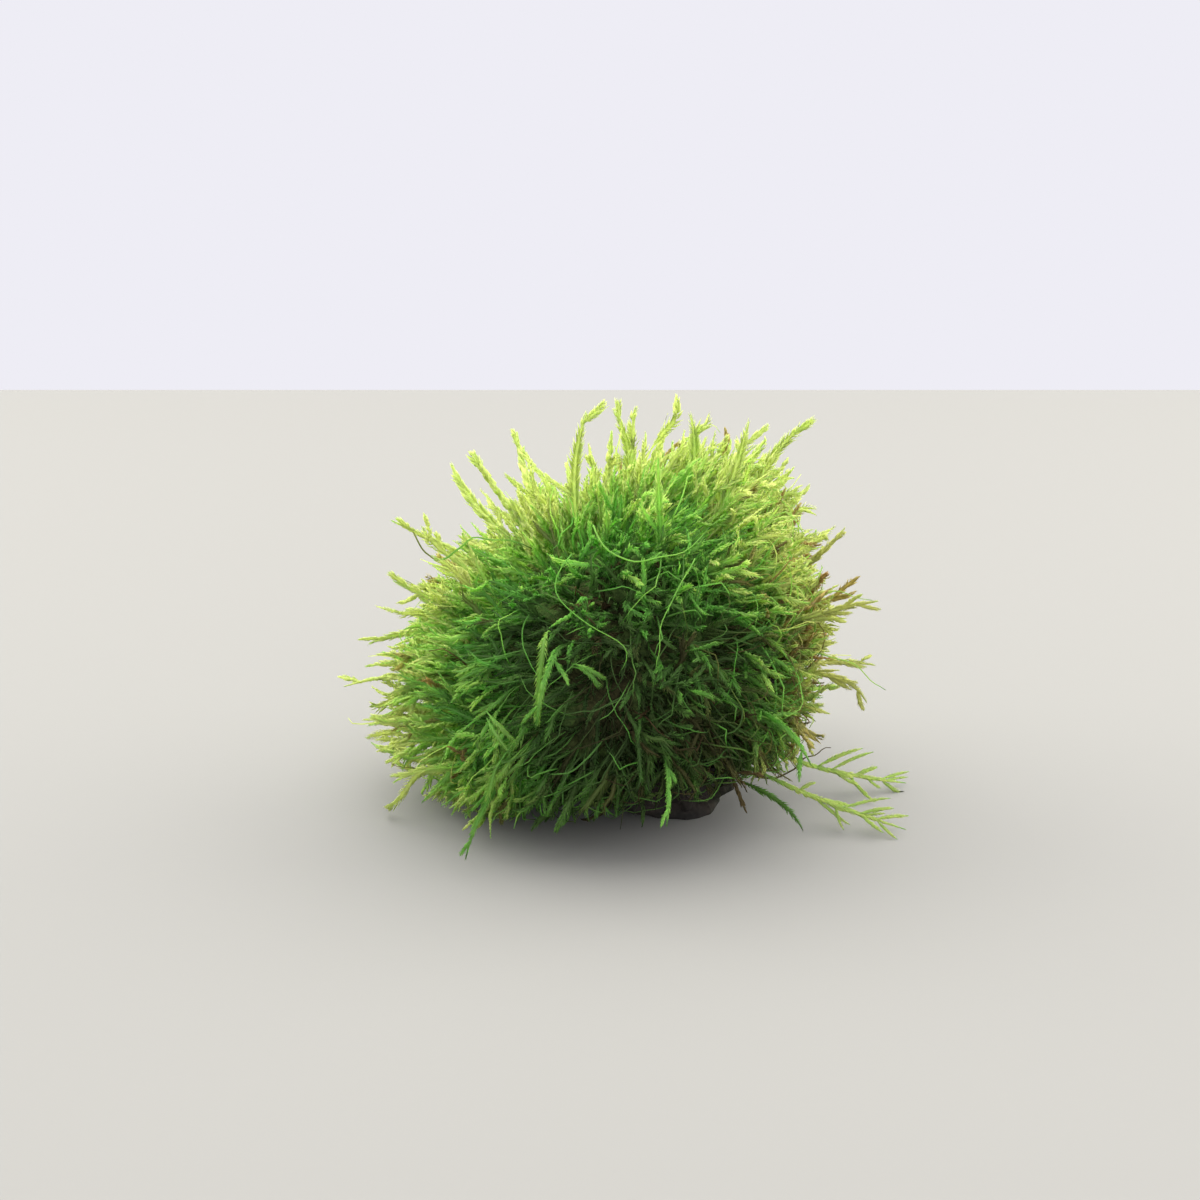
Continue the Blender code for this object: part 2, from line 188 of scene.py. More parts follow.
@dataclass
class GrowthField:
    """What the regions say at any direction from the mound's middle.

    sharpness is how soon one region gives way to the next. The hollows are the high spots of a noise with
    the rate hollow_rate, where shade is painted dark, and hollow_by_light is how much of them is left as
    it gets lighter.
    Shoots below the hem are lifted to it, by most_lift millimetres at the most.
    """

    middle: np.ndarray
    regions: tuple[Region, ...] = REGIONS
    sharpness: float = 9.0
    hollow_rate: float = 150.0
    hollow_pattern: float = 5.5
    hollow_slope: float = 4.0
    hollow_by_light: tuple[float, float] = (1.45, 1.4)
    hem_spread: tuple[float, float] = (0.75, 1.25)
    most_lift: float = 6.0

    def __post_init__(self) -> None:
        """Keep the regions as arrays."""
        self.toward = unit(np.array([region.toward for region in self.regions]))
        rows = [
            (
                region.dense * MM, region.tips * MM, *region.flow, region.lay, region.tangle,
                region.light, region.dry, region.hem * MM,
            )
            for region in self.regions
        ]
        self.values = np.array(rows)

    def at(self, directions: np.ndarray) -> dict[str, np.ndarray]:
        """Blend the regions at some directions.

        Args:
            directions: Unit vectors from the mound's middle, one a row.

        Returns:
            Arrays named dense, tips, flow, lay, tangle, light, dry and hem.
        """
        weights = np.exp(self.sharpness * (directions @ self.toward.T - 1))
        weights /= weights.sum(axis=1)[:, None]
        blended = weights @ self.values
        names = ("dense", "tips", "lay", "tangle", "light", "dry", "hem")
        columns = np.delete(blended, slice(2, 5), axis=1).T
        return {"flow": blended[:, 2:5], **dict(zip(names, columns))}

    def hollow(self, directions: np.ndarray) -> np.ndarray:
        """Tell how far each direction looks into a hollow, where shade is painted dark.

        Args:
            directions: From the mound's middle, one a row.

        Returns:
            From 0 to 1, one a direction: most where the regions' light, with its painted shade, is low.
        """
        directions = unit(directions)
        local = self.at(directions)
        pattern = ripple(directions * local["dense"][:, None], self.hollow_rate, self.hollow_pattern)
        most, loss = self.hollow_by_light
        return np.clip(pattern * self.hollow_slope, 0, 1) * np.clip(most - loss * local["light"], 0, 1)

    def depth(self, points: np.ndarray) -> np.ndarray:
        """Give how far out points lie.

        Args:
            points: One a row.

        Returns:
            Their distances from the middle, as shares of how far the closed growth reaches there.
        """
        offsets = points - self.middle
        distances = np.linalg.norm(offsets, axis=1)
        return distances / self.at(offsets / distances[:, None])["dense"]

    def surface(self, directions: np.ndarray, depth: np.ndarray) -> np.ndarray:
        """Find points at some directions and depths."""
        directions = unit(directions)
        return self.middle + directions * (self.at(directions)["dense"] * depth)[:, None]


def even_directions(count: int, rng: np.random.Generator, jitter: float) -> np.ndarray:
    """Spread directions evenly over a ball, each moved a little at random.

    Args:
        count: How many directions.
        rng: The seeded source of the jitter.
        jitter: How far each direction is moved.

    Returns:
        Unit vectors, one a row.
    """
    index = np.arange(count)
    height = 1 - 2 * (index + 0.5) / count
    ring = np.sqrt(1 - height * height)
    turn = index * GOLDEN_ANGLE
    directions = np.stack([ring * np.cos(turn), ring * np.sin(turn), height], axis=1)
    return unit(directions + rng.normal(0, jitter, directions.shape))


def ripple(points: np.ndarray, rate: float, place: float) -> np.ndarray:
    """Read smooth noise, from about -1 to 1, at some points.

    Args:
        points: Where to read it, one a row.
        rate: How fast it changes.
        place: Picks one of many such patterns.

    Returns:
        One value a point.
    """
    shift = Vector((place, -place, place * 0.5))
    return np.array([noise.noise(Vector(point) * rate + shift) for point in points]) * NOISE_GAIN


@dataclass(frozen=True)
class Leaf:
    """One moss leaf: a small keeled blade, widest before its middle. Lengths are in millimetres.

    spread is its angle to the shoot, and closing is how much of it is gone at the shoot's tip. roll and
    wander are how far leaves turn out of their row at random. Leaves are shorter at the shoot's root and
    tip: young and last each give a least share and how fast it grows from there. shade is how light its
    root, its tip and its two sides are. blade_half is half the width of the leafy band that the stem
    itself carries.
    """

    length: float = 1.2
    width_share: float = 0.46
    widest_at: float = 0.42
    keel_share: float = 0.15
    spread: float = math.radians(35)
    closing: float = 0.5
    roll: float = 0.28
    wander: float = 0.09
    bend: float = 0.15
    first: float = 0.7
    young: tuple[float, float] = (0.45, 3.0)
    last: tuple[float, float] = (0.3, 2.4)
    lengths: tuple[float, float] = (0.8, 1.15)
    shade: tuple[float, float, float, float] = (-0.5, 0.6, 0.0, 0.0)
    spacing: float = 0.24
    blade_half: float = 0.24


@dataclass(frozen=True)
class Sway:
    """How a shoot winds round its curve: its turns on the way, and a smaller kink on top of them."""

    start_by_size: float = 40.0
    turns: float = 0.6
    turns_by_stem: float = 4.0
    facing_rate: float = 1.3
    kink_rate: float = 2.7
    kink_start: float = 1.0
    kink_share: float = 0.4


@dataclass(frozen=True)
class Shading:
    """How light the points of a shoot are against the shoot's own light, as painted light and shade: dimmer
    deep in the mat, where shade falls and the growth is older, and brighter on the outermost shoots, where
    light falls and the growth is young.

    Depths are shares of the closed growth, each with the range over which it takes effect. least is the
    share of light that is left deep down, for a dark shoot and how much more for a light one.
    """

    deep: tuple[float, float] = (0.74, 0.3)
    outer: tuple[float, float] = (0.92, 0.25)
    tip: tuple[float, float] = (0.93, 0.07)
    least: tuple[float, float] = (0.7, 0.28)
    along_gain: float = 0.1
    outer_gain: float = 0.35
    tip_loss: float = 0.3
    midrib: float = 0.9
    leaf_shade: float = 0.04

    @staticmethod
    def ramp(values: np.ndarray, limits: tuple[float, float]) -> np.ndarray:
        """Rise from 0 to 1 over a range that starts at the first limit and is as wide as the second."""
        return np.clip((values - limits[0]) / limits[1], 0, 1)

    def light(self, own: np.ndarray, light: np.ndarray, share: np.ndarray, depth: np.ndarray) -> np.ndarray:
        """Paint light and shade into points by their place.

        Args:
            own: The light of each point's shoot.
            light: The light of each point before it is shaded.
            share: How far along its shoot each point is.
            depth: How far out each point is, as a share of the closed growth.

        Returns:
            The light of each point.
        """
        inside = self.ramp(depth, self.deep)
        least = self.least[0] + self.least[1] * own
        gain = self.along_gain * share**2 * inside + self.outer_gain * self.ramp(depth, self.outer)
        return light * (least + (1 - least) * inside + gain) - self.tip_loss * self.ramp(share, self.tip)


@dataclass(frozen=True)
class Branching:
    """How side branches leave their shoot.

    span is the part of the shoot that carries them. heading is how much they set out along the shoot and
    how much aside, stray how far each is off at random, and bend how much they turn back along it. length
    is a share of the shoot's, ease is how early they begin to turn, leafy_from where their leaves start,
    and stem how thick they are against the shoot.
    """

    span: tuple[float, float]
    heading: tuple[float, float]
    stray: float
    bend: float
    length: tuple[float, float]
    ease: float = 0.0
    leafy_from: float = 0.05
    stem: float = 0.75


@dataclass
class Shoots:
    """Many shoots, each a cubic curve from its root to its tip.

    controls has each shoot's four points, and facing the direction that its flat side looks to. Every
    other array has one value a shoot: leafy_from is the share of the way where the leaves start, or 1 on
    a bare thread, size scales the leaves, stem is the stem's radius in metres, light and brown give its
    colour, gap spreads its leaves out, and wave is how far it sways from its curve.
    """

    controls: np.ndarray
    facing: np.ndarray
    leafy_from: np.ndarray
    size: np.ndarray
    stem: np.ndarray
    light: np.ndarray
    brown: np.ndarray
    gap: np.ndarray
    wave: np.ndarray

    def __len__(self) -> int:
        """Count the shoots."""
        return len(self.controls)

    def pick(self, chosen: np.ndarray) -> "Shoots":
        """Take the shoots that a mask or an index array chooses."""
        return Shoots(*(values[chosen] for values in self.__dict__.values()))

    def points(self, index: np.ndarray, share: np.ndarray) -> np.ndarray:
        """Find points on the shoots.

        Args:
            index: Which shoot each point is on.
            share: How far along it the point is, from 0 to 1.

        Returns:
            The points, one a row.
        """
        sway, size, stem = Sway(), self.size[index], self.stem[index]
        controls = self.controls[index]
        rest = 1 - share
        weights = np.stack(
            [rest**3, 3 * rest**2 * share, 3 * rest * share**2, share**3], axis=1
        )
        curve = np.einsum("nk,nkc->nc", weights, controls)
        phase = size * sway.start_by_size + share * 2 * np.pi * (sway.turns + sway.turns_by_stem * stem / MM)
        facing = self.facing[index]
        beside = unit(np.cross(facing, controls[:, 3] - controls[:, 0]))
        kink = np.cos(phase) + sway.kink_share * np.sin(sway.kink_rate * phase + sway.kink_start)
        aside = facing * np.sin(phase * sway.facing_rate)[:, None] + beside * kink[:, None]
        return curve + aside * (self.wave[index] * share)[:, None]

    def frames(self, index: np.ndarray, share: np.ndarray) -> tuple[np.ndarray, np.ndarray, np.ndarray]:
        """Find the directions along, across and through the shoots at some points.

        Args:
            index: Which shoot each point is on.
            share: How far along it the point is, from 0 to 1.

        Returns:
            Three arrays of unit vectors, one a row.
        """
        step = 0.02
        ahead = self.points(index, np.minimum(share + step, 1))
        behind = self.points(index, np.maximum(share - step, 0))
        along = unit(ahead - behind)
        across = unit(np.cross(along, self.facing[index]))
        return along, across, np.cross(along, across)

    def lengths(self) -> np.ndarray:
        """Measure the shoots along their controls.

        Returns:
            Their lengths in metres.
        """
        steps = np.linalg.norm(np.diff(self.controls, axis=1), axis=2).sum(axis=1)
        straight = np.linalg.norm(self.controls[:, 3] - self.controls[:, 0], axis=1)
        return (steps + straight) / 2

    def lifted(self, growth: GrowthField, rng: np.random.Generator) -> "Shoots":
        """Lift shoots that hang below the growth's hem.

        Args:
            growth: Tells where the hem is.
            rng: The seeded source of how far the hem itself goes up and down.

        Returns:
            The shoots, without those that hung too far below the hem.
        """
        direction = unit(self.controls[:, 3] - growth.middle)
        hem = growth.at(direction)["hem"] * rng.uniform(*growth.hem_spread, len(self))
        lift = np.maximum(0, hem - self.controls[:, :, 2].min(axis=1))
        self.controls[:, :, 2] += lift[:, None]
        return self.pick(lift < growth.most_lift * MM)

    def branched(
        self, parent: np.ndarray, begin: np.ndarray, heading: np.ndarray, along: np.ndarray,
        length: np.ndarray, size: float | np.ndarray, kind: Branching,
    ) -> "Shoots":
        """Grow side branches out of some of the shoots.

        Args:
            parent: The number of the shoot that each branch grows on.
            begin: How far along the shoot it grows.
            heading: The direction that it sets out in.
            along: The direction of the shoot there, which it bends back to.
            length: Its length.
            size: The size of its leaves against the shoot's.
            kind: How it bends, and what it is like against the shoot.

        Returns:
            The branches, as shoots.
        """
        root = self.points(parent, begin)
        third = length[:, None] / 3
        finish = unit(heading + along * kind.bend)
        controls = np.stack(
            [
                root,
                root + heading * third,
                root + (heading * (2 - kind.ease) + finish * kind.ease) * third,
                root + (heading * (2 - 2 * kind.ease) + finish) * third,
            ],
            axis=1,
        )
        chosen = self.pick(parent)
        leafy_from = np.full(len(parent), kind.leafy_from)
        return Shoots(
            controls, chosen.facing, leafy_from, chosen.size * size, chosen.stem * kind.stem,
            chosen.light, chosen.brown, chosen.gap, chosen.wave * 0,
        )

    @staticmethod
    def joined(groups: list["Shoots"]) -> "Shoots":
        """Put several groups of shoots together."""
        names = Shoots.__dataclass_fields__
        return Shoots(*(np.concatenate([getattr(group, name) for group in groups]) for name in names))


@dataclass
class ShootMesher:
    """Turns shoots into one mesh of closed stems and closed leaves."""

    rings: int = 7
    sides: int = 4
    seed: int = 1
    leaf: Leaf = Leaf()
    shading: Shading = Shading()
    taper: float = 0.6
    blade_rise: float = 4.0
    blade_fall: float = 2.6

    def stems(self, shoots: Shoots) -> tuple[np.ndarray, np.ndarray, np.ndarray]:
        """Make the stems: tapering tubes, closed at both ends.

        Args:
            shoots: The shoots to make stems for.

        Returns:
            The points, the triangles, and for each point its shoot's number, its share along the shoot
            and its shade.
        """
        count, rings, sides = len(shoots), self.rings, self.sides
        index = np.repeat(np.arange(count), rings * sides)
        ring = np.tile(np.repeat(np.arange(rings), sides), count)
        side = np.tile(np.arange(sides), count * rings)
        share = ring / (rings - 1)
        _, across, through = shoots.frames(index, share)
        turn = side * 2 * np.pi / sides
        radius = shoots.stem[index] * (1 - self.taper * share**2)
        leafy = (share - shoots.leafy_from[index]) / np.maximum(1 - shoots.leafy_from[index], 1e-6)
        blade = np.clip(leafy * self.blade_rise, 0, 1) * np.clip((1 - leafy) * self.blade_fall, 0, 1)
        wide = radius + blade * self.leaf.blade_half * MM * shoots.size[index]
        spoke = across * (wide * np.cos(turn))[:, None] + through * (radius * np.sin(turn))[:, None]
        points = shoots.points(index, share) + spoke

        walls = []
        for row in range(rings - 1):
            for k in range(sides):
                low, low_next = row * sides + k, row * sides + (k + 1) % sides
                high, high_next = low + sides, low_next + sides
                walls += [(low, low_next, high_next), (low, high_next, high)]
        last = (rings - 1) * sides
        for k in range(1, sides - 1):
            walls += [(0, k + 1, k), (last, last + k, last + k + 1)]
        triangles = np.arange(count)[:, None, None] * rings * sides + np.array(walls)
        edge = np.where(side % 2 == 0, blade, 0)
        return points, triangles.reshape(-1, 3), np.stack([index, share, edge], axis=1)

    def leaves(self, shoots: Shoots) -> tuple[np.ndarray, np.ndarray, np.ndarray]:
        """Make the leaves, each with four faces, in two flat rows that lie forwards.

        Args:
            shoots: The shoots to make leaves for.

        Returns:
            The points, the triangles, and for each point its shoot's number, its share along the shoot
            and its shade.
        """
        leaf = self.leaf
        rng = np.random.default_rng(self.seed)
        room = shoots.lengths() * (1 - shoots.leafy_from)
        counts = (room / (leaf.spacing * MM * shoots.gap * np.sqrt(shoots.size))).astype(int)
        index = np.repeat(np.arange(len(shoots)), counts)
        order = np.arange(len(index)) - np.repeat(np.cumsum(counts) - counts, counts)
        share = (order + leaf.first) / counts[index]
        along_shoot = shoots.leafy_from[index] + (1 - shoots.leafy_from[index]) * share
        along, across, through = shoots.frames(index, np.minimum(along_shoot, 1))

        row = np.where(order % 2, 1.0, -1.0)
        roll = rng.normal(0, leaf.roll, len(index))
        outward = across * (row * np.cos(roll))[:, None] + through * np.sin(roll)[:, None]
        spread = leaf.spread * (1 - leaf.closing * share**3) + rng.normal(0, leaf.wander, len(index))
        heading = along * np.cos(spread)[:, None] + outward * np.sin(spread)[:, None]
        face_up = unit(np.cross(np.cross(along, outward), heading))
        wide = np.cross(heading, face_up)

        young = np.minimum(1, leaf.young[0] + share * leaf.young[1])
        fullness = young * np.minimum(1, leaf.last[0] + (1 - share) * leaf.last[1])
        length = leaf.length * MM * shoots.size[index] * fullness * rng.uniform(*leaf.lengths, len(index))
        root = shoots.points(index, np.minimum(along_shoot, 1))
        tip = root + heading * length[:, None] + along * (length * leaf.bend)[:, None]
        middle = root + heading * (length * leaf.widest_at)[:, None]
        half = wide * (length * leaf.width_share / 2)[:, None]
        keel = face_up * (length * leaf.width_share * leaf.keel_share)[:, None]
        points = np.stack([root, tip, middle + half + keel, middle - half + keel], axis=1)
        faces = np.array([(0, 2, 1), (0, 1, 3), (0, 3, 2), (1, 2, 3)])
        triangles = np.arange(len(index))[:, None, None] * 4 + faces
        shade = rng.uniform(-1, 1, len(index))[:, None] + np.array(leaf.shade)
        number, way = np.repeat(index, 4), np.repeat(along_shoot, 4)
        return points.reshape(-1, 3), triangles.reshape(-1, 3), np.stack([number, way, shade.ravel()], axis=1)

    def build(self, name: str, shoots: Shoots, growth: GrowthField) -> bpy.types.Mesh:
        """Make one mesh of shoots, with their colour, painted light and shade included, kept in its points.

        Args:
            name: The mesh's name.
            shoots: The shoots to make.
            growth: Tells how deep in the mound each point is.

        Returns:
            The new mesh.
        """
        stems, leaves = self.stems(shoots), self.leaves(shoots)
        points = np.concatenate([stems[0], leaves[0]])
        points[:, 2] = np.maximum(points[:, 2], FLOOR_GAP * MM)
        triangles = np.concatenate([stems[1], leaves[1] + len(stems[0])])
        place = np.concatenate([stems[2], leaves[2]])
        index, share, shade = place[:, 0].astype(int), place[:, 1], place[:, 2]
        is_leaf = np.arange(len(points)) >= len(stems[0])
        mesh = bpy.data.meshes.new(name)
        mesh.from_pydata(points, [], triangles)
        mesh.update()

        shading, own = self.shading, shoots.light[index]
        midrib = ~is_leaf & (shoots.leafy_from[index] < 1) & (shade == 0)
        light = np.where(midrib, shading.midrib * own, own) + np.where(is_leaf, shading.leaf_shade * shade, 0)
        light = shading.light(own, light, share, growth.depth(points))
        keep_growth(mesh, np.clip(np.stack([light, shoots.brown[index], share, is_leaf], axis=1), 0, 1))
        return mesh


class NodeKit:
    """Short ways to add shader nodes and link them in a material's tree."""

    def __init__(self, tree: bpy.types.NodeTree) -> None:
        """Work in a node tree."""
        self.tree = tree

    def add(self, kind: str, inputs: dict | None = None, **settings: object) -> bpy.types.Node:
        """Add a node.

        Args:
            kind: The node's type.
            inputs: For each input, by name or number, a value or the socket that feeds it.
            settings: The node's own properties.

        Returns:
            The new node.
        """
        node = self.tree.nodes.new(kind)
        for key, value in settings.items():
            setattr(node, key, value)
        for key, value in (inputs or {}).items():
            if isinstance(value, bpy.types.NodeSocket):
                self.tree.links.new(value, node.inputs[key])
            else:
                node.inputs[key].default_value = value
        return node

    def math(self, operation: str, *values: object) -> bpy.types.NodeSocket:
        """Add a Math node and return its result."""
        node = self.add("ShaderNodeMath", dict(enumerate(values)), operation=operation)
        return node.outputs[0]

    def ramp(self, factor: bpy.types.NodeSocket, stops: tuple) -> bpy.types.NodeSocket:
        """Add a colour ramp.

        Args:
            factor: What is looked up.
            stops: Each a position and a linear colour.

        Returns:
            The ramp's colour.
        """
        node = self.add("ShaderNodeValToRGB", {0: factor})
        elements = node.color_ramp.elements
        while len(elements) < len(stops):
            elements.new(0.5)
        for element, (position, colour) in zip(elements, stops):
            element.position = position
            element.color = (*colour, 1)
        return node.outputs[0]

    def mix(self, factor: object, first: object, second: object, **settings: str) -> bpy.types.NodeSocket:
        """Mix two colours and return the result."""
        inputs = {0: factor, 6: first, 7: second}
        return self.add("ShaderNodeMix", inputs, data_type="RGBA", **settings).outputs[2]

    def noise(self, scale: float, detail: float) -> bpy.types.NodeSocket:
        """Add noise over the object's own space.

        Args:
            scale: How fine it is.
            detail: How many finer layers it has.

        Returns:
            Its value.
        """
        place = self.add("ShaderNodeTexCoord").outputs["Object"]
        inputs = {"Vector": place, "Scale": scale, "Detail": detail}
        return self.add("ShaderNodeTexNoise", inputs).outputs[0]

    def growth(self) -> tuple[bpy.types.NodeSocket, bpy.types.NodeSocket]:
        """Read what keep_growth has kept.

        Returns:
            How light and how brown the surface is.
        """
        kept = self.add("ShaderNodeAttribute", attribute_name=GROWTH)
        split = self.add("ShaderNodeSeparateColor", {0: kept.outputs["Color"]})
        return split.outputs[0], split.outputs[1]

    def principled(self, colour: object, roughness: float, specular: float, **more: object) -> bpy.types.Node:
        """Add a Principled BSDF."""
        inputs = {"Base Color": colour, "Roughness": roughness, "Specular IOR Level": specular}
        return self.add("ShaderNodeBsdfPrincipled", {**inputs, **more})

    def finish(self, surface: bpy.types.Node) -> None:
        """Put a shader out as the material's surface."""
        self.add("ShaderNodeOutputMaterial", {0: surface.outputs[0]})


def new_tree(name: str) -> tuple[bpy.types.Material, NodeKit]:
    """Args:
        name: The material's name.

    Returns:
        Both.
    """
    material = bpy.data.materials.new(name)
    material.use_nodes = True
    material.node_tree.nodes.clear()
    return material, NodeKit(material.node_tree)


@dataclass(frozen=True)
class MossFinish:
    """The finish of the shoots, by their kept light, which holds painted light and shade: dark where the
    shade is painted deep and the growth is old, fresh green further out, and yellow-green at the young
    tips, made paler by painted light.
    """

    name: str = "moss"
    roughness: float = 0.7
    specular: float = 0.15
    translucency: float = 0.78
    patches: tuple[float, float] = (260.0, 3.0)
    patch_share: float = 0.26
    greens: tuple = (
        (0.0, (0.075, 0.115, 0.05)),
        (0.25, (0.18, 0.34, 0.11)),
        (0.5, (0.33, 0.72, 0.18)),
        (0.75, (0.63, 0.91, 0.28)),
        (1.0, (0.87, 0.95, 0.44)),
    )
    browns: tuple = ((0.0, (0.04, 0.03, 0.017)), (0.6, (0.31, 0.22, 0.11)), (1.0, (0.62, 0.46, 0.2)))

    def material(self) -> bpy.types.Material:
        """Build the material.

        Returns:
            The new material.
        """
        material, kit = new_tree(self.name)
        light, brown = kit.growth()
        base = kit.math("SUBTRACT", light, self.patch_share / 2)
        varied = kit.math("MULTIPLY_ADD", kit.noise(*self.patches), self.patch_share, base)
        colour = kit.mix(brown, kit.ramp(varied, self.greens), kit.ramp(varied, self.browns))
        surface = kit.principled(colour, self.roughness, self.specular)
        through = kit.add("ShaderNodeBsdfTranslucent", {"Color": colour})
        shaders = {0: self.translucency, 1: surface.outputs[0], 2: through.outputs[0]}
        kit.finish(kit.add("ShaderNodeMixShader", shaders))
        return material


@dataclass(frozen=True)
class BedFinish:
    """The finish of the bed: matt old moss in fine rough patches, dark brown where its kept light paints
    shade on it and dim green where that light is high.
    """

    name: str = "moss_bed"
    roughness: float = 1.0
    specular: float = 0.05
    scales: tuple[float, float] = (420.0, 1500.0)
    detail: float = 4.0
    browns: tuple = ((0.35, (0.013, 0.011, 0.007)), (0.62, (0.075, 0.058, 0.03)))
    greens: tuple = ((0.35, (0.045, 0.11, 0.027)), (0.65, (0.18, 0.42, 0.08)))
    bump: float = 0.6

    def material(self) -> bpy.types.Material:
        """Build the material.

        Returns:
            The new material.
        """
        material, kit = new_tree(self.name)
        patches, fibres = (kit.math("MULTIPLY", kit.noise(scale, self.detail), 0.5) for scale in self.scales)
        mixed = kit.math("ADD", patches, fibres)
        colour = kit.mix(kit.growth()[0], kit.ramp(mixed, self.browns), kit.ramp(mixed, self.greens))
        bump = kit.add("ShaderNodeBump", {"Strength": 1.0, "Distance": self.bump * MM, "Height": mixed})
        kit.finish(kit.principled(colour, self.roughness, self.specular, Normal=bump.outputs[0]))
        return material


@dataclass(frozen=True)
class RockFinish:
    """The finish of the lava rock: matt dark grey-brown in patches, green where moss sat, finely grained."""

    name: str = "lava_rock"
    roughness: float = 0.92
    specular: float = 0.3
    patches: tuple[float, float] = (95.0, 5.0)
    grain: tuple[float, float] = (1400.0, 3.0)
    colours: tuple = (
        (0.3, (0.010, 0.010, 0.009)),
        (0.5, (0.022, 0.020, 0.017)),
        (0.62, (0.042, 0.033, 0.025)),
        (0.75, (0.028, 0.036, 0.018)),
    )
    specks: tuple = ((0.45, (0.5, 0.5, 0.5)), (0.7, (1.0, 1.0, 1.0)))
    speck_share: float = 0.7
    bump: tuple[float, float] = (0.6, 0.2)

    def material(self) -> bpy.types.Material:
        """Build the material.

        Returns:
            The new material.
        """
        material, kit = new_tree(self.name)
        grain = kit.noise(*self.grain)
        base = kit.ramp(kit.noise(*self.patches), self.colours)
        colour = kit.mix(self.speck_share, base, kit.ramp(grain, self.specks), blend_type="MULTIPLY")
        strength, distance = self.bump
        bump = kit.add("ShaderNodeBump", {"Strength": strength, "Distance": distance * MM, "Height": grain})
        kit.finish(kit.principled(colour, self.roughness, self.specular, Normal=bump.outputs[0]))
        return material


@dataclass(frozen=True)
class PlainFinish:
    """A plain matt finish, for the floor."""

    name: str
    colour: tuple[float, float, float]
    roughness: float = 0.8
    specular: float = 0.5

    def material(self) -> bpy.types.Material:
        """Build the material.

        Returns:
            The new material.
        """
        material, kit = new_tree(self.name)
        kit.finish(kit.principled((*self.colour, 1), self.roughness, self.specular))
        return material


def hand_over(mesh: bpy.types.Mesh, material: bpy.types.Material, nodes: list[str]) -> None:
    """Make a finished mesh a piece that rides on the body and stands for its solids.

    Args:
        mesh: The mesh, which has the piece's name.
        material: Its finish.
        nodes: The solids that it replaces.
    """
    mesh.shade_smooth()
    mesh.materials.append(material)
    piece = place_object(mesh.name, mesh)
    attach(piece, BODY)
    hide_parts(*nodes)
    mesh.calc_loop_triangles()
    count = len(mesh.loop_triangles)
    LOG.info("%s: %d triangles", piece.name, count)
    if count > MOST_TRIANGLES:
        raise ValueError(f"{piece.name} has {count} triangles")


@dataclass
class LavaRock:
    """The rock's broken, bubbly surface, made from its solid. Lengths are in millimetres.

    edge is the longest edge below shown_height and above it. coarse and fine are the rates and the
    heights of two noises that roughen it, and the higher pit_power is, the smaller are most pits.
    """

    node: str = "lava_rock"
    edge: tuple[float, float] = (0.42, 1.6)
    shown_height: float = 20.0
    halvings: int = 5
    smoothing: int = 3
    smoothing_share: float = 0.5
    foot: float = 0.25
    foot_fade: float = 0.6
    pits: int = 1300
    pit_radius: tuple[float, float] = (0.45, 1.9)
    pit_depth_share: float = 0.8
    pit_power: float = 2.2
    coarse: tuple[float, float] = (420.0, 0.7)
    fine: tuple[float, float] = (1300.0, 0.3)
    seed: int = 21

    def long_edges(self, bm: bmesh.types.BMesh) -> list[bmesh.types.BMEdge]:
        """Find the edges that are too long for the pits, or for the covered upper part.

        Args:
            bm: The surface.

        Returns:
            The edges to divide.
        """
        shown, covered = self.edge
        found = []
        for edge in bm.edges:
            low = min(vert.co.z for vert in edge.verts) < self.shown_height * MM
            if edge.calc_length() > (shown if low else covered) * MM:
                found.append(edge)
        return found

    def surface(self) -> bmesh.types.BMesh:
        """Copy the solid, close it up, divide it finely and round off its facets.

        Returns:
            The surface.
        """
        bm = bmesh.new()
        bm.from_mesh(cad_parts[self.node].data)
        bmesh.ops.remove_doubles(bm, verts=bm.verts, dist=1e-6)
        bmesh.ops.triangulate(bm, faces=bm.faces[:])
        for _ in range(self.halvings):
            bmesh.ops.subdivide_edges(bm, edges=self.long_edges(bm), cuts=1, use_grid_fill=True)
            bmesh.ops.triangulate(bm, faces=bm.faces[:])
        free = [vert for vert in bm.verts if vert.co.z > self.foot * MM]
        for _ in range(self.smoothing):
            share = self.smoothing_share
            bmesh.ops.smooth_vert(
                bm, verts=free, factor=share, use_axis_x=True, use_axis_y=True, use_axis_z=True
            )
        bm.normal_update()
        return bm

    def press_pits(self, bm: bmesh.types.BMesh) -> None:
        """Roughen the surface and press round gas pits into it, away from the flat foot.

        Args:
            bm: The surface, which is changed.
        """
        rng = np.random.default_rng(self.seed)
        points = np.array([vert.co for vert in bm.verts])
        centres = points[rng.choice(len(points), self.pits, replace=False)]
        least, most = self.pit_radius
        radii = MM * rng.uniform(0, 1, self.pits) ** self.pit_power * (most - least)
        radii += least * MM
        tree = kdtree.KDTree(len(points))
        for number, point in enumerate(points):
            tree.insert(point, number)
        tree.balance()
        sink = np.zeros(len(points))
        for centre, radius in zip(centres, radii):
            for _, number, distance in tree.find_range(centre, radius):
                bowl = radius * self.pit_depth_share * math.sqrt(1 - (distance / radius) ** 2)
                sink[number] = max(sink[number], bowl)
        (coarse_rate, coarse), (fine_rate, fine) = self.coarse, self.fine
        for vert, depth in zip(bm.verts, sink):
            free = min(1, max(0, (vert.co.z / MM - self.foot) / self.foot_fade))
            rough = noise.noise(vert.co * coarse_rate) * coarse + noise.noise(vert.co * fine_rate) * fine
            rough -= coarse / 2
            vert.co += vert.normal * (free * (rough * MM - depth))

    def build(self) -> None:
        """Make the rock, without the few folded pairs of faces that the division leaves."""
        bm = self.surface()
        self.press_pits(bm)
        folded = [vert for vert in bm.verts if len(vert.link_faces) == 2]
        bmesh.ops.delete(bm, geom=folded, context="VERTS")
        hand_over(mesh_of(bm, "lava_rock_surface"), RockFinish().material(), [self.node])


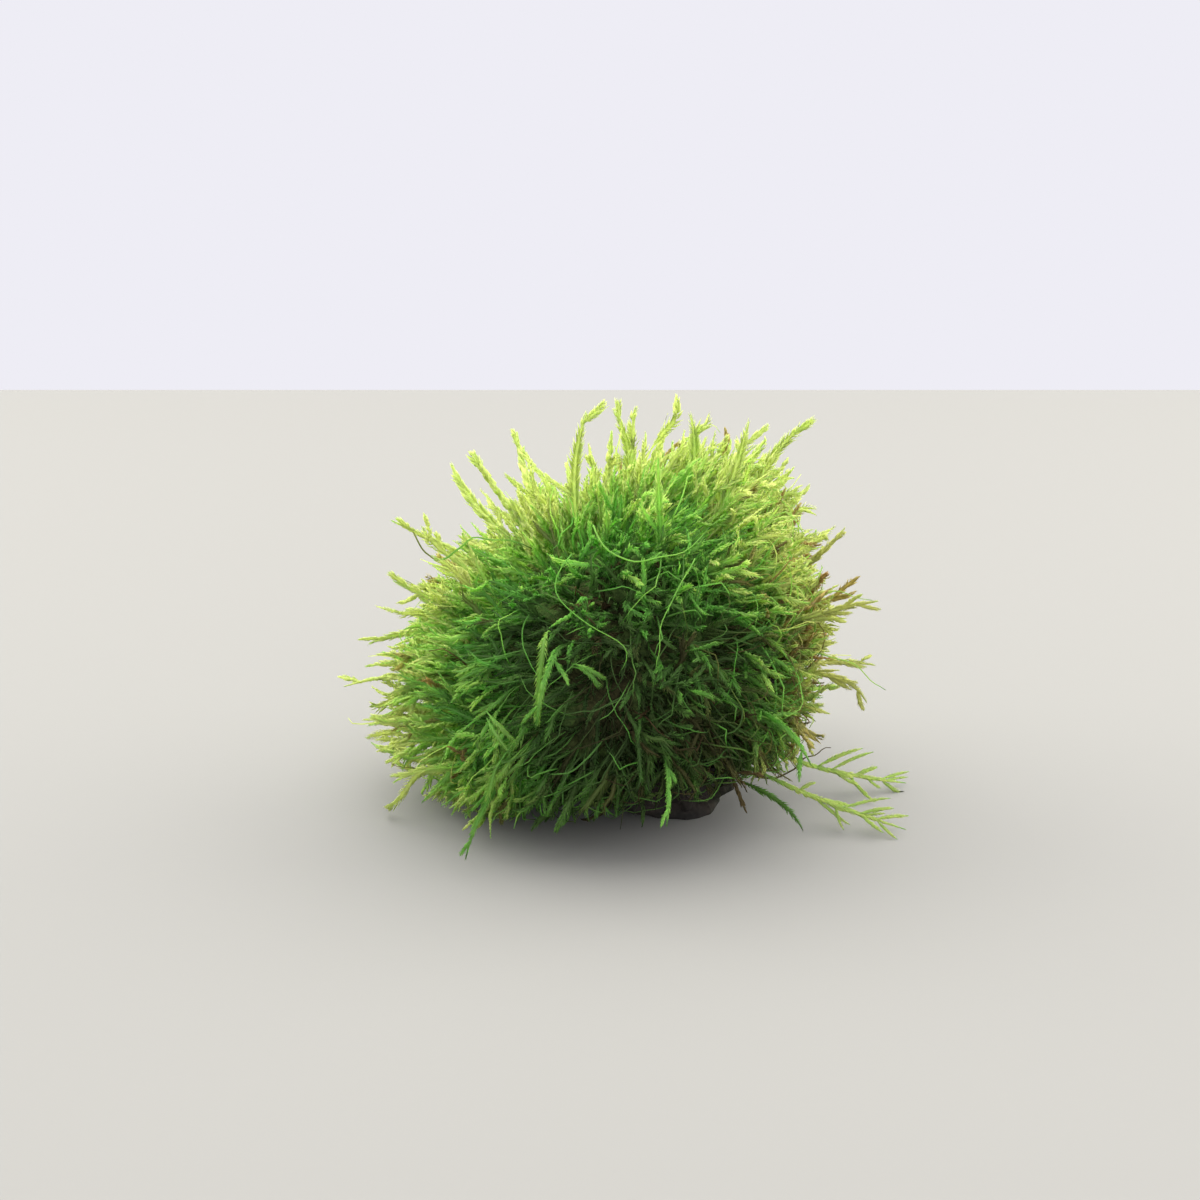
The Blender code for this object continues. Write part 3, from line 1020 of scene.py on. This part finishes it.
@dataclass(frozen=True)
class Layer:
    """One layer of shoots. Lengths are in millimetres and depths are shares of the closed growth.

    count is how many shoots a whole ball would have, tips how deep they end, beyond how far they go on
    to the longest tips, leafy where their leaves start, and open how much they leave the hollows free.
    """

    count: int
    tips: tuple[float, float]
    beyond: float
    length: tuple[float, float]
    size: tuple[float, float]
    leafy: tuple[float, float]
    gap: float
    stem: tuple[float, float]
    lay: float
    open: float
    seed: int


LAYERS: tuple[Layer, ...] = (
    Layer(1700, (0.8, 0.92), 0.0, (5.0, 9.0), (0.75, 1.0), (0.2, 0.4), 1.3, (0.1, 0.15), 0.9, 0.3, 8),
    Layer(2900, (0.92, 1.03), 0.3, (8.0, 14.0), (0.7, 1.05), (0.25, 0.45), 1.05, (0.11, 0.16), 1.0, 0.95, 9),
    Layer(600, (0.97, 1.04), 1.0, (11.0, 17.0), (0.85, 1.2), (0.2, 0.4), 0.9, (0.12, 0.17), 0.6, 0.9, 10),
    Layer(150, (1.0, 1.05), 1.0, (10.0, 16.0), (1.0, 1.0), (1.0, 1.0), 1.0, (0.1, 0.15), 0.7, 0.5, 11),
)


@dataclass
class MossMound:
    """The mat of moss: an old bed on the rock, with shade painted on it, and the living shoots that grow out
    of it.

    Shares of depth are of how far the closed growth reaches, and lengths are in millimetres. The names
    with bed in them shape the bed and paint its light and shade, and hollow_dim paints shade onto the
    shoots in the hollows. swirl turns the shoots of one place aside together, stray each on its own, and
    curl bends them. living_brown is how brown a living shoot may be, which ends at the light
    no_brown_light.
    """

    growth: GrowthField
    moss: bpy.types.Material
    branch_share: float = 0.3
    twig: Branching = Branching((0.4, 0.8), (0.8, 0.6), 0.2, 0.6, (0.22, 0.45), ease=0.1)
    twig_size: float = 0.85
    twig_seed: int = 12
    crown_from: float = 0.6
    crown_split: float = 0.15
    skirt_below: float = -0.4
    bed_share: float = 0.74
    bed_rise: float = 3.0
    bed_lumps: tuple[tuple[float, float], ...] = ((7.0, 0.08), (19.0, 0.06))
    bed_sink: float = 0.1
    bed_light: tuple[float, float] = (0.15, 0.85)
    bed_dim: float = 0.8
    jitter: float = 0.05
    root_least: float = 0.5
    beyond_power: float = 1.5
    lump_rate: float = 150.0
    lump_pattern: float = 9.3
    lump_share: float = 0.09
    swirl_rate: float = 130.0
    swirl_patterns: tuple[float, float] = (1.7, 3.1)
    swirl: float = 0.7
    stray: float = 0.75
    lay_spread: tuple[float, float] = (0.7, 1.2)
    most_lay: float = 0.95
    start_flow: float = 0.3
    start_stray: float = 0.15
    curl: float = 0.3
    roll: float = 0.5
    size_by_light: tuple[float, float] = (0.8, 0.35)
    light_spread: tuple[float, float] = (0.82, 1.12)
    hollow_dim: float = 0.4
    dry_brown: tuple[float, float] = (0.45, 1.0)
    living_brown: float = 0.4
    no_brown_light: float = 1.1
    brown_by_dry: float = 0.45
    wave: tuple[float, float] = (0.2, 0.7)

    def bed(self) -> None:
        """Make the bed of old growth that shows between the shoots, painted dark as shade where the regions
        are dim and in the hollows.
        """
        bm = bmesh.new()
        bmesh.ops.create_icosphere(bm, subdivisions=6, radius=1)
        directions = np.array([vert.co.normalized() for vert in bm.verts])
        local = self.growth.at(directions)
        hollow = self.growth.hollow(directions)
        for number, vert in enumerate(bm.verts):
            direction = Vector(directions[number])
            lumps = sum(noise.noise(direction * rate) * height for rate, height in self.bed_lumps)
            reach = local["dense"][number] * self.bed_share * (1 + lumps - self.bed_sink * hollow[number])
            vert.co = Vector(self.growth.middle) + direction * reach
            vert.co.z = max(vert.co.z, local["hem"][number] + self.bed_rise * MM)
        bmesh.ops.recalc_face_normals(bm, faces=bm.faces[:])
        mesh = mesh_of(bm, "moss_bed")
        least, gain = self.bed_light
        kept = np.zeros((len(mesh.vertices), 4))
        # Painted light and shade of the bed: dim where the regions' light is low, and darker still in the
        # hollows.
        kept[:, 0] = (least + gain * local["light"] ** 2) * (1 - self.bed_dim * hollow)
        keep_growth(mesh, kept)
        hand_over(mesh, BedFinish().material(), ["moss_mat"])

    def grow(self, layer: Layer) -> Shoots:
        """Grow one layer of shoots all round the mound.

        Args:
            layer: What the layer is like.

        Returns:
            The shoots of the layer.
        """
        rng = np.random.default_rng(layer.seed)
        direction = even_directions(layer.count, rng, self.jitter)
        local = self.growth.at(direction)
        count = len(direction)
        places = self.growth.surface(direction, np.ones(count))
        first, step = self.swirl_patterns
        swirl = [ripple(places, self.swirl_rate, step * axis + first) for axis in range(3)]
        swirl = np.stack(swirl, axis=1)
        stray = rng.normal(0, self.stray, (count, 3)) * local["tangle"][:, None]
        flow = unit(local["flow"]) + swirl * self.swirl + stray
        flow -= direction * (flow * direction).sum(axis=1)[:, None]
        flow = unit(flow)
        lay = local["lay"] * layer.lay * rng.uniform(*self.lay_spread, count)
        lay = np.clip(lay, 0, self.most_lay)[:, None]
        start = unit(direction + flow * self.start_flow + rng.normal(0, self.start_stray, (count, 3)))
        finish = unit(direction * (1 - lay) + flow * lay)
        between = unit(start + finish)
        length = rng.uniform(*layer.length, count) * MM
        lump = 1 + ripple(places, self.lump_rate, self.lump_pattern) * self.lump_share
        reach = local["dense"] * rng.uniform(*layer.tips, count) * lump
        further = rng.uniform(0, 1, count) ** self.beyond_power
        reach += (local["tips"] - local["dense"]) * layer.beyond * further
        rise = ((start + between + finish) * direction).sum(axis=1) / 3 * length
        root_depth = np.maximum(reach - rise, local["dense"] * self.root_least)
        roots = self.growth.middle + direction * root_depth[:, None]
        third = length[:, None] / 3
        curl = rng.normal(0, self.curl, (count, 3)) * third
        controls = np.stack(
            [
                roots,
                roots + start * third - curl,
                roots + (start + between) * third + curl,
                roots + (start + between + finish) * third,
            ],
            axis=1,
        )
        is_dry = rng.random(count) < local["dry"]
        covered = [self.growth.hollow(controls[:, point] - self.growth.middle) for point in (2, 3)]
        hollow = np.maximum(*covered)
        least, gain = self.size_by_light
        facing = unit(direction + rng.normal(0, self.roll, (count, 3)))
        leafy_from = rng.uniform(*layer.leafy, count)
        size = rng.uniform(*layer.size, count) * (least + gain * local["light"])
        stem = rng.uniform(*layer.stem, count) * MM
        # The shoot's light holds painted light and shade: the regions' light, varied, and dimmed by
        # hollow_dim in the hollows as painted shade.
        light = local["light"] * rng.uniform(*self.light_spread, count) * lump
        light *= 1 - self.hollow_dim * hollow
        dry_brown = rng.uniform(*self.dry_brown, count)
        brown = rng.uniform(0, self.living_brown, count) * (self.no_brown_light - local["light"])
        brown = np.where(is_dry, dry_brown, brown + self.brown_by_dry * local["dry"])
        gap, wave = np.full(count, layer.gap), rng.uniform(*self.wave, count) * MM
        shoots = Shoots(controls, facing, leafy_from, size, stem, light, brown, gap, wave)
        open_here = hollow * layer.open > rng.random(count)
        return shoots.pick(~open_here).lifted(self.growth, rng)

    def twigs(self, shoots: Shoots) -> Shoots:
        """Grow side branches out of some of the shoots.

        Args:
            shoots: The shoots that may carry them.

        Returns:
            The side branches.
        """
        rng = np.random.default_rng(self.twig_seed)
        kind = self.twig
        count = int(len(shoots) * self.branch_share)
        parent = rng.integers(0, len(shoots), count)
        begin = rng.uniform(*kind.span, count)
        along, across, _ = shoots.frames(parent, begin)
        side = rng.choice([-1.0, 1.0], count)[:, None]
        spread = across * side + rng.normal(0, kind.stray, (count, 3))
        heading = unit(along * kind.heading[0] + spread * kind.heading[1])
        length = shoots.lengths()[parent] * rng.uniform(*kind.length, count)
        return shoots.branched(parent, begin, heading, along, length, self.twig_size, kind)

    def zones(self, shoots: Shoots) -> dict[Zone, np.ndarray]:
        """Tell which shoots belong to each zone, by the direction of their tips.

        Args:
            shoots: All shoots of the mat.

        Returns:
            A mask of the shoots for each zone.
        """
        direction = unit(shoots.controls[:, 3] - self.growth.middle)
        x, y, z = direction.T
        crown = z > self.crown_from
        skirt = ~crown & (z < self.skirt_below)
        side = ~crown & ~skirt
        return {
            Zone.CROWN_LEFT: crown & (x < self.crown_split),
            Zone.CROWN_RIGHT: crown & (x >= self.crown_split),
            Zone.FRONT_SKIRT: skirt & (y < 0),
            Zone.BACK_SKIRT: skirt & (y >= 0),
            Zone.LEFT: side & (x < -np.abs(y)),
            Zone.RIGHT: side & (x > np.abs(y)),
            Zone.FRONT: side & (y <= -np.abs(x)),
            Zone.BACK: side & (y >= np.abs(x)),
        }

    def build(self) -> None:
        """Make the bed and every zone of shoots."""
        self.bed()
        layers = [self.grow(layer) for layer in LAYERS]
        shoots = Shoots.joined([*layers, self.twigs(Shoots.joined(layers[1:3]))])
        for zone, chosen in self.zones(shoots).items():
            mesh = ShootMesher().build(zone.value, shoots.pick(chosen), self.growth)
            hand_over(mesh, self.moss, ["moss_mat"])


@dataclass
class MossThreads:
    """The bare thin stems that run over the mound in arcs. Lengths are in millimetres.

    chances says how likely a thread is, and how that falls to the back and the top and grows to the
    right. steps and depths say how far along and how deep the four points of its curve are.
    """

    growth: GrowthField
    moss: bpy.types.Material
    count: int = 1400
    length: tuple[float, float] = (4.0, 12.0)
    radius: tuple[float, float] = (0.09, 0.16)
    wave: tuple[float, float] = (0.2, 0.9)
    curve: float = 0.5
    steps: tuple[float, ...] = (0.0, 0.33, 0.67, 1.0)
    depths: tuple[tuple[float, float], ...] = ((0.82, 0.95), (0.98, 1.1), (0.98, 1.12), (0.93, 1.07))
    jitter: float = 0.08
    chances: tuple[float, float, float, float] = (0.3, 0.45, 0.5, 0.45)
    chance_limits: tuple[float, float] = (0.05, 0.9)
    dry_gain: float = 1.5
    light_share: float = 0.75
    light_spread: float = 0.15
    most_light: float = 0.8
    dry_brown: tuple[float, float] = (0.4, 1.0)
    living_brown: tuple[float, float] = (0.0, 0.25)
    seed: int = 40

    def chance(self, direction: np.ndarray) -> np.ndarray:
        """Give how likely a thread is at each direction: most in front, fewest on the crown.

        Args:
            direction: Unit vectors from the mound's middle, one a row.

        Returns:
            One chance a direction.
        """
        x, y, z = direction.T
        level, back, top, right = self.chances
        return np.clip(level - back * y - top * z + right * x, *self.chance_limits)

    def build(self) -> None:
        """Make the threads, as one piece."""
        rng = np.random.default_rng(self.seed)
        direction = even_directions(self.count, rng, self.jitter)
        direction = direction[rng.random(self.count) < self.chance(direction)]
        count = len(direction)
        local = self.growth.at(direction)
        flow = unit(local["flow"]) + rng.normal(0, 1.0, (count, 3)) * local["tangle"][:, None]
        flow = unit(flow - direction * (flow * direction).sum(axis=1)[:, None])
        aside = np.cross(direction, flow)
        length = rng.uniform(*self.length, count) * MM
        angle = length / local["dense"]
        curve = rng.normal(0, self.curve, count) * angle
        controls = []
        depths = [rng.uniform(*depth, count) for depth in self.depths]
        for step, depth in zip(self.steps, depths):
            heading = direction + flow * (angle * step)[:, None] + aside * (curve * step * step)[:, None]
            controls.append(self.growth.surface(heading, depth))
        is_dry = rng.random(count) < local["dry"] * self.dry_gain
        stem = rng.uniform(*self.radius, count) * MM
        # The threads take the regions' light, painted light and shade included, a little dimmed.
        light = local["light"] * self.light_share
        light = np.clip(light + rng.uniform(-self.light_spread, self.light_spread, count), 0, self.most_light)
        brown = rng.uniform(*self.dry_brown, count), rng.uniform(*self.living_brown, count)
        brown = np.where(is_dry, *brown)
        wave, ones = rng.uniform(*self.wave, count) * MM, np.ones(count)
        shoots = Shoots(np.stack(controls, axis=1), direction, ones, ones, stem, light, brown, ones, wave)
        shoots = shoots.lifted(self.growth, rng)
        mesh = ShootMesher(rings=9, sides=3).build("moss_threads", shoots, self.growth)
        hand_over(mesh, self.moss, ["moss_mat"])


@dataclass(frozen=True)
class LongStyle:
    """How a family of long shoots looks: its leaves' size, its count of side branches and its colour,
    whose light holds painted light and shade as the regions' does, darkest at the front.
    """

    size: float
    branches: int
    light: float
    brown: float


LONG_STYLES: dict[str, LongStyle] = {
    "left": LongStyle(1.15, 2, 0.8, 0.04),
    "crown": LongStyle(1.6, 2, 0.95, 0.0),
    "right": LongStyle(1.05, 4, 0.85, 0.25),
    "crown_shoot_5": LongStyle(1.1, 1, 0.62, 0.0),
    "trailing": LongStyle(0.8, 11, 0.64, 0.2),
    "front": LongStyle(0.9, 2, 0.42, 0.15),
    "back": LongStyle(1.4, 3, 0.85, 0.04),
}


@dataclass
class LongShoots:
    """The long shoots that stand clear of the mat, each grown along its own solid.

    Lengths are in millimetres. inward is how far each goes on into the mat. The names with side in them
    shape the side branches: side_shorter is how much they shrink on the way to the tip, and side_shift
    how far each is off its even place.
    """

    growth: GrowthField
    moss: bpy.types.Material
    inward: float = 9.0
    leaf_gap: float = 0.7
    leafy_from: float = 0.15
    stem: float = 0.15
    read_at: tuple[float, float, float] = (0.05, 0.35, 0.7)
    side: Branching = Branching((0.42, 0.88), (0.85, 0.5), 0.22, 0.7, (0.1, 0.32))
    side_size: tuple[float, float] = (0.55, 0.85)
    side_shift: float = 0.05
    side_shorter: tuple[float, float] = (1.25, 0.6)
    turn: float = 0.6
    to_viewer: tuple[float, float, float] = (0.0, -0.8, 0.0)
    trailing_facing: tuple[float, float, float] = (0.0, -0.4, 1.0)
    first_seed: int = 200
    first_leaf_seed: int = 100

    def centre_line(self, node: str) -> np.ndarray:
        """Find four points down the middle of a long solid.

        Args:
            node: The solid's name.

        Returns:
            Its root, two points between, and its tip.
        """
        points = np.array([vert.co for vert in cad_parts[node].data.vertices])
        distance = np.linalg.norm(points - self.growth.middle, axis=1)
        root, tip = points[distance.argmin()], points[distance.argmax()]
        share = (points - root) @ (tip - root) / ((tip - root) @ (tip - root))
        fit = np.polynomial.polynomial.polyfit(share, points, 2)
        line = [np.polynomial.polynomial.polyval(at, fit) for at in self.read_at]
        return np.array([*line, tip])

    def controls(self, node: str) -> np.ndarray:
        """Make the curve of a shoot that runs from inside the mat through its solid to its tip.

        Args:
            node: The solid's name.

        Returns:
            The four points of the curve.
        """
        root, low, high, tip = self.centre_line(node)
        start = unit((root - low)[None])[0] + unit((self.growth.middle - root)[None])[0]
        start = root + unit(start[None])[0] * self.inward * MM
        marks = np.cumsum([0, *np.linalg.norm(np.diff([start, root, high, tip], axis=0), axis=1)])
        shares = marks[1:3] / marks[3]
        middle = np.array([[3 * (1 - s) ** 2 * s, 3 * (1 - s) * s * s] for s in shares])
        ends = np.array([(1 - s) ** 3 * start + s**3 * tip for s in shares])
        inner = np.linalg.solve(middle, np.array([root, high]) - ends)
        return np.array([start, *inner, tip])

    def branches(self, shoot: Shoots, count: int, rng: np.random.Generator) -> Shoots:
        """Grow the side branches of one long shoot, by turns to its left and right.

        Args:
            shoot: The long shoot, alone.
            count: How many branches.
            rng: The seeded source of their differences.

        Returns:
            The branches.
        """
        kind = self.side
        begin = np.linspace(*kind.span, count) + rng.uniform(-self.side_shift, self.side_shift, count)
        parent = np.zeros(count, dtype=int)
        along, across, _ = shoot.frames(parent, begin)
        side = np.where(np.arange(count) % 2, 1.0, -1.0)[:, None]
        stray = rng.normal(0, kind.stray, (count, 3))
        heading = unit(along * kind.heading[0] + across * side * kind.heading[1] + stray)
        length = shoot.lengths()[0] * rng.uniform(*kind.length, count)
        length *= self.side_shorter[0] - self.side_shorter[1] * begin
        size = rng.uniform(*self.side_size, count)
        return shoot.branched(parent, begin, heading, along, length, size, kind)

    def facing(self, node: str, rng: np.random.Generator) -> np.ndarray:
        """Choose where the flat side of a shoot looks: outwards and to the front, or up if it trails.

        Args:
            node: The solid's name.
            rng: The seeded source of its own turn.

        Returns:
            The direction, as one row.
        """
        low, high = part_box(node)
        direction = unit((np.array((low + high) / 2) - self.growth.middle)[None])
        turned = unit(direction + rng.normal(0, self.turn, (1, 3)) + np.array([self.to_viewer]))
        return np.array([self.trailing_facing]) if node.startswith("trailing") else turned

    def build(self) -> None:
        """Make every long shoot."""
        names = sorted(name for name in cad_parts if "_shoot_" in name)
        for number, node in enumerate(names):
            rng = np.random.default_rng(self.first_seed + number)
            style = LONG_STYLES.get(node) or LONG_STYLES[node.split("_")[0]]
            one = np.ones(1)
            shoot = Shoots(
                self.controls(node)[None], self.facing(node, rng), one * self.leafy_from, one * style.size,
                one * self.stem * MM, one * style.light, one * style.brown, one * self.leaf_gap, one * 0,
            )
            grown = Shoots.joined([shoot, self.branches(shoot, style.branches, rng)])
            mesher = ShootMesher(rings=12, seed=self.first_leaf_seed + number)
            hand_over(mesher.build(f"{node}_leafy", grown, self.growth), self.moss, [node])


@dataclass(frozen=True)
class Accent:
    """A strand that catches the eye, through four points. Lengths are in millimetres.

    leafy_from is the share of its way where its leaves start, or 1 on a bare stem, and size scales them.
    radius is its stem's, and light and brown give its colour, each from 0 to 1.
    """

    line: tuple[tuple[float, float, float], ...]
    leafy_from: float
    size: float
    radius: float
    light: float
    brown: float = 0.22


ACCENTS: tuple[Accent, ...] = (
    Accent(((-11, -22, 35), (-12, -28, 34), (-12.6, -28.5, 27), (-12.6, -27.5, 23.5)), 0.1, 1.1, 0.12, 0.5),
    Accent(((-20, -22, 23), (-18.5, -26, 23), (-17, -27.5, 22), (-15.5, -28, 20.5)), 0.1, 0.75, 0.12, 0.48),
    Accent(((-20, -22, 22), (-19, -26, 22), (-18, -27.5, 21), (-16.6, -28.4, 19.6)), 0.1, 0.7, 0.12, 0.45),
    Accent(((-8, -24, 31), (-6, -27, 31.5), (-4.5, -28, 31), (-3.2, -28, 30.2)), 0.1, 0.8, 0.12, 0.46),
    Accent(((-8, -24, 30.5), (-6, -27, 31), (-4.8, -28.3, 30.2), (-4.2, -28.4, 29.2)), 0.1, 0.75, 0.12, 0.42),
    Accent(((8, -23, 27), (9, -27, 28), (10.5, -28, 28), (11.5, -28, 27)), 0.2, 0.75, 0.12, 0.4),
    Accent(((-5, -19, 49.5), (-1.6, -24, 46.6), (4.2, -25, 46.4), (11, -19, 49.5)), 1.0, 1.0, 0.12, 0.42),
    Accent(((9, -20, 45), (6, -25, 41), (3.5, -27, 36), (4.5, -27, 31)), 1.0, 1.0, 0.085, 0.42),
    Accent(((-8, -21, 46), (-9, -25, 40), (-3, -27.5, 36), (-1, -27, 31)), 1.0, 1.0, 0.085, 0.38),
    Accent(((-28, -6, 40), (-24.7, -7, 41.6), (-21, -8, 43.8), (-14, -9, 43.5)), 1.0, 1.0, 0.15, 0.4, 0.3),
    Accent(((-31, -4, 43.5), (-28.5, -5, 40), (-26, -6, 38.6), (-22, -7, 36)), 1.0, 1.0, 0.12, 0.45, 0.7),
    Accent(((20, -5, 34), (25, -5, 33.6), (30, -5, 34.2), (35.5, -5, 33.7)), 1.0, 1.0, 0.11, 0.5, 0.35),
    Accent(((20, -6, 26), (27, -6, 25.6), (33, -6, 23.2), (38, -6, 20)), 1.0, 1.0, 0.12, 0.5, 0.3),
    Accent(((19, -4, 5), (24, -5, 6), (27, -4, 8), (30, -4, 10.2)), 1.0, 1.0, 0.14, 0.3, 0.9),
    Accent(((13, -9, 8), (18, -15, 8.4), (22, -21, 8.2), (24.5, -26, 6.5)), 0.2, 0.9, 0.1, 0.3, 0.35),
)
# Turns four points that a cubic curve passes through, a third of its way apart, into its controls.
THROUGH_POINTS = np.array([(6, 0, 0, 0), (-5, 18, -9, 2), (2, -9, 18, -5), (0, 0, 0, 6)]) / 6


@dataclass
class AccentStrands:
    """The few bright fronds and light stems that stand out on the front of the mound."""

    growth: GrowthField
    moss: bpy.types.Material
    leaf_gap: float = 1.4
    bare_wave: float = 0.8
    facing: tuple[float, float, float] = (0.0, -1.0, 0.15)

    def build(self) -> None:
        """Make the strands, as one piece."""
        names = ("leafy_from", "size", "radius", "light", "brown")
        rows = [[getattr(accent, name) for name in names] for accent in ACCENTS]
        leafy_from, size, radius, light, brown = np.array(rows).T
        controls = THROUGH_POINTS @ np.array([accent.line for accent in ACCENTS]) * MM
        facing = np.tile(self.facing, (len(ACCENTS), 1))
        gap = np.full(len(ACCENTS), self.leaf_gap)
        wave = np.where(leafy_from == 1, self.bare_wave, 0.0) * MM
        strands = Shoots(controls, facing, leafy_from, size, radius * MM, light, brown, gap, wave)
        mesh = ShootMesher(rings=18, seed=60).build("bright_strands", strands, self.growth)
        hand_over(mesh, self.moss, ["moss_mat"])


@dataclass
class Studio:
    """The floor, the light and the camera. Lengths are in millimetres."""

    floor_size: tuple[float, float, float] = (1000.0, 1000.0, 234.0)
    floor_colour: tuple[float, float, float] = (0.245, 0.24, 0.224)
    wall_colour: tuple[float, float, float] = (0.855, 0.847, 0.913)
    warm: tuple[float, float, float] = (1.0, 0.99, 0.94)
    cool: tuple[float, float, float] = (0.97, 0.99, 1.0)
    aim_height: float = 20.0
    camera_place: tuple[float, float, float] = (-4.09, -345.98, 157.55)
    pitch: float = 20.0
    lens: float = 75.0
    sensor: float = 36.0

    def floor(self) -> None:
        """Lay a pale floor, which ends where the wall starts."""
        side, front, back = (size * MM for size in self.floor_size)
        bm = bmesh.new()
        bmesh.ops.create_grid(bm, x_segments=1, y_segments=1, size=0.5)
        bmesh.ops.scale(bm, vec=(2 * side, front + back, 1), verts=bm.verts)
        bmesh.ops.translate(bm, vec=(0, (back - front) / 2, 0), verts=bm.verts)
        mesh = mesh_of(bm, "floor")
        mesh.materials.append(PlainFinish("pale_floor", self.floor_colour).material())
        place_object("floor", mesh)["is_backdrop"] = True

    def light(self, name: str, place: tuple, size: float, watts: float, colour: tuple) -> None:
        """Hang a square soft light that faces the object.

        Args:
            name: The light's name.
            place: Where it hangs, in metres.
            size: The length of its sides, in metres.
            watts: Its power.
            colour: Its colour.
        """
        lamp = bpy.data.lights.new(name, "AREA")
        lamp.size = size
        lamp.energy = watts
        lamp.color = colour
        holder = place_object(name, lamp)
        holder.location = place
        aim = Vector((0, 0, self.aim_height * MM)) - Vector(place)
        holder.rotation_euler = aim.to_track_quat("-Z", "Y").to_euler()

    def build(self) -> None:
        """Set up the floor, the lights, the world and the camera."""
        bpy.context.scene.view_settings.view_transform = "Standard"
        self.floor()
        self.light("top_light", (0.0, 0.2, 0.66), 1.0, 8.5, self.warm)
        self.light("left_light", (-0.6, 0.2, 0.35), 0.6, 4.5, self.warm)
        self.light("right_light", (0.6, 0.2, 0.35), 0.6, 4.5, self.warm)
        self.light("front_light", (0.1, -0.7, 0.5), 0.8, 3.0, self.cool)
        world = bpy.data.worlds.new("pale_room")
        world.use_nodes = True
        background = world.node_tree.nodes["Background"]
        background.inputs["Color"].default_value = (*self.wall_colour, 1)
        background.inputs["Strength"].default_value = 1.0
        bpy.context.scene.world = world
        camera = bpy.data.cameras.new("camera")
        camera.lens = self.lens
        camera.sensor_width = self.sensor
        holder = place_object("camera", camera)
        holder.location = Vector(self.camera_place) * MM
        holder.rotation_euler = (math.radians(90 - self.pitch), 0, 0)
        bpy.context.scene.camera = holder


def mound_middle() -> np.ndarray:
    """Find the middle of the mound: half way across the mat, and a little below half its height.

    Returns:
        The point, in metres.
    """
    low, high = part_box("moss_mat")
    return np.array([MIDDLE_ACROSS * MM, 0.0, low.z + (high.z - low.z) * MIDDLE_HEIGHT_SHARE])


def write_sizes() -> None:
    """Work out the box of the solids and the box of the finished model; they are not kept anywhere."""
    boxes = {
        "cad": [list(map(float, corner)) for corner in CAD_BOX],
        "visual": [list(map(float, corner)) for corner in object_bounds()],
    }


def main() -> None:
    """Build the rock, the moss and the studio."""
    logging.basicConfig(level=logging.INFO, format="%(message)s")
    growth = GrowthField(mound_middle())
    moss = MossFinish().material()
    LavaRock().build()
    MossMound(growth, moss).build()
    MossThreads(growth, moss).build()
    AccentStrands(growth, moss).build()
    LongShoots(growth, moss).build()
    Studio().build()
    write_sizes()


if __name__ == "__main__":
    main()
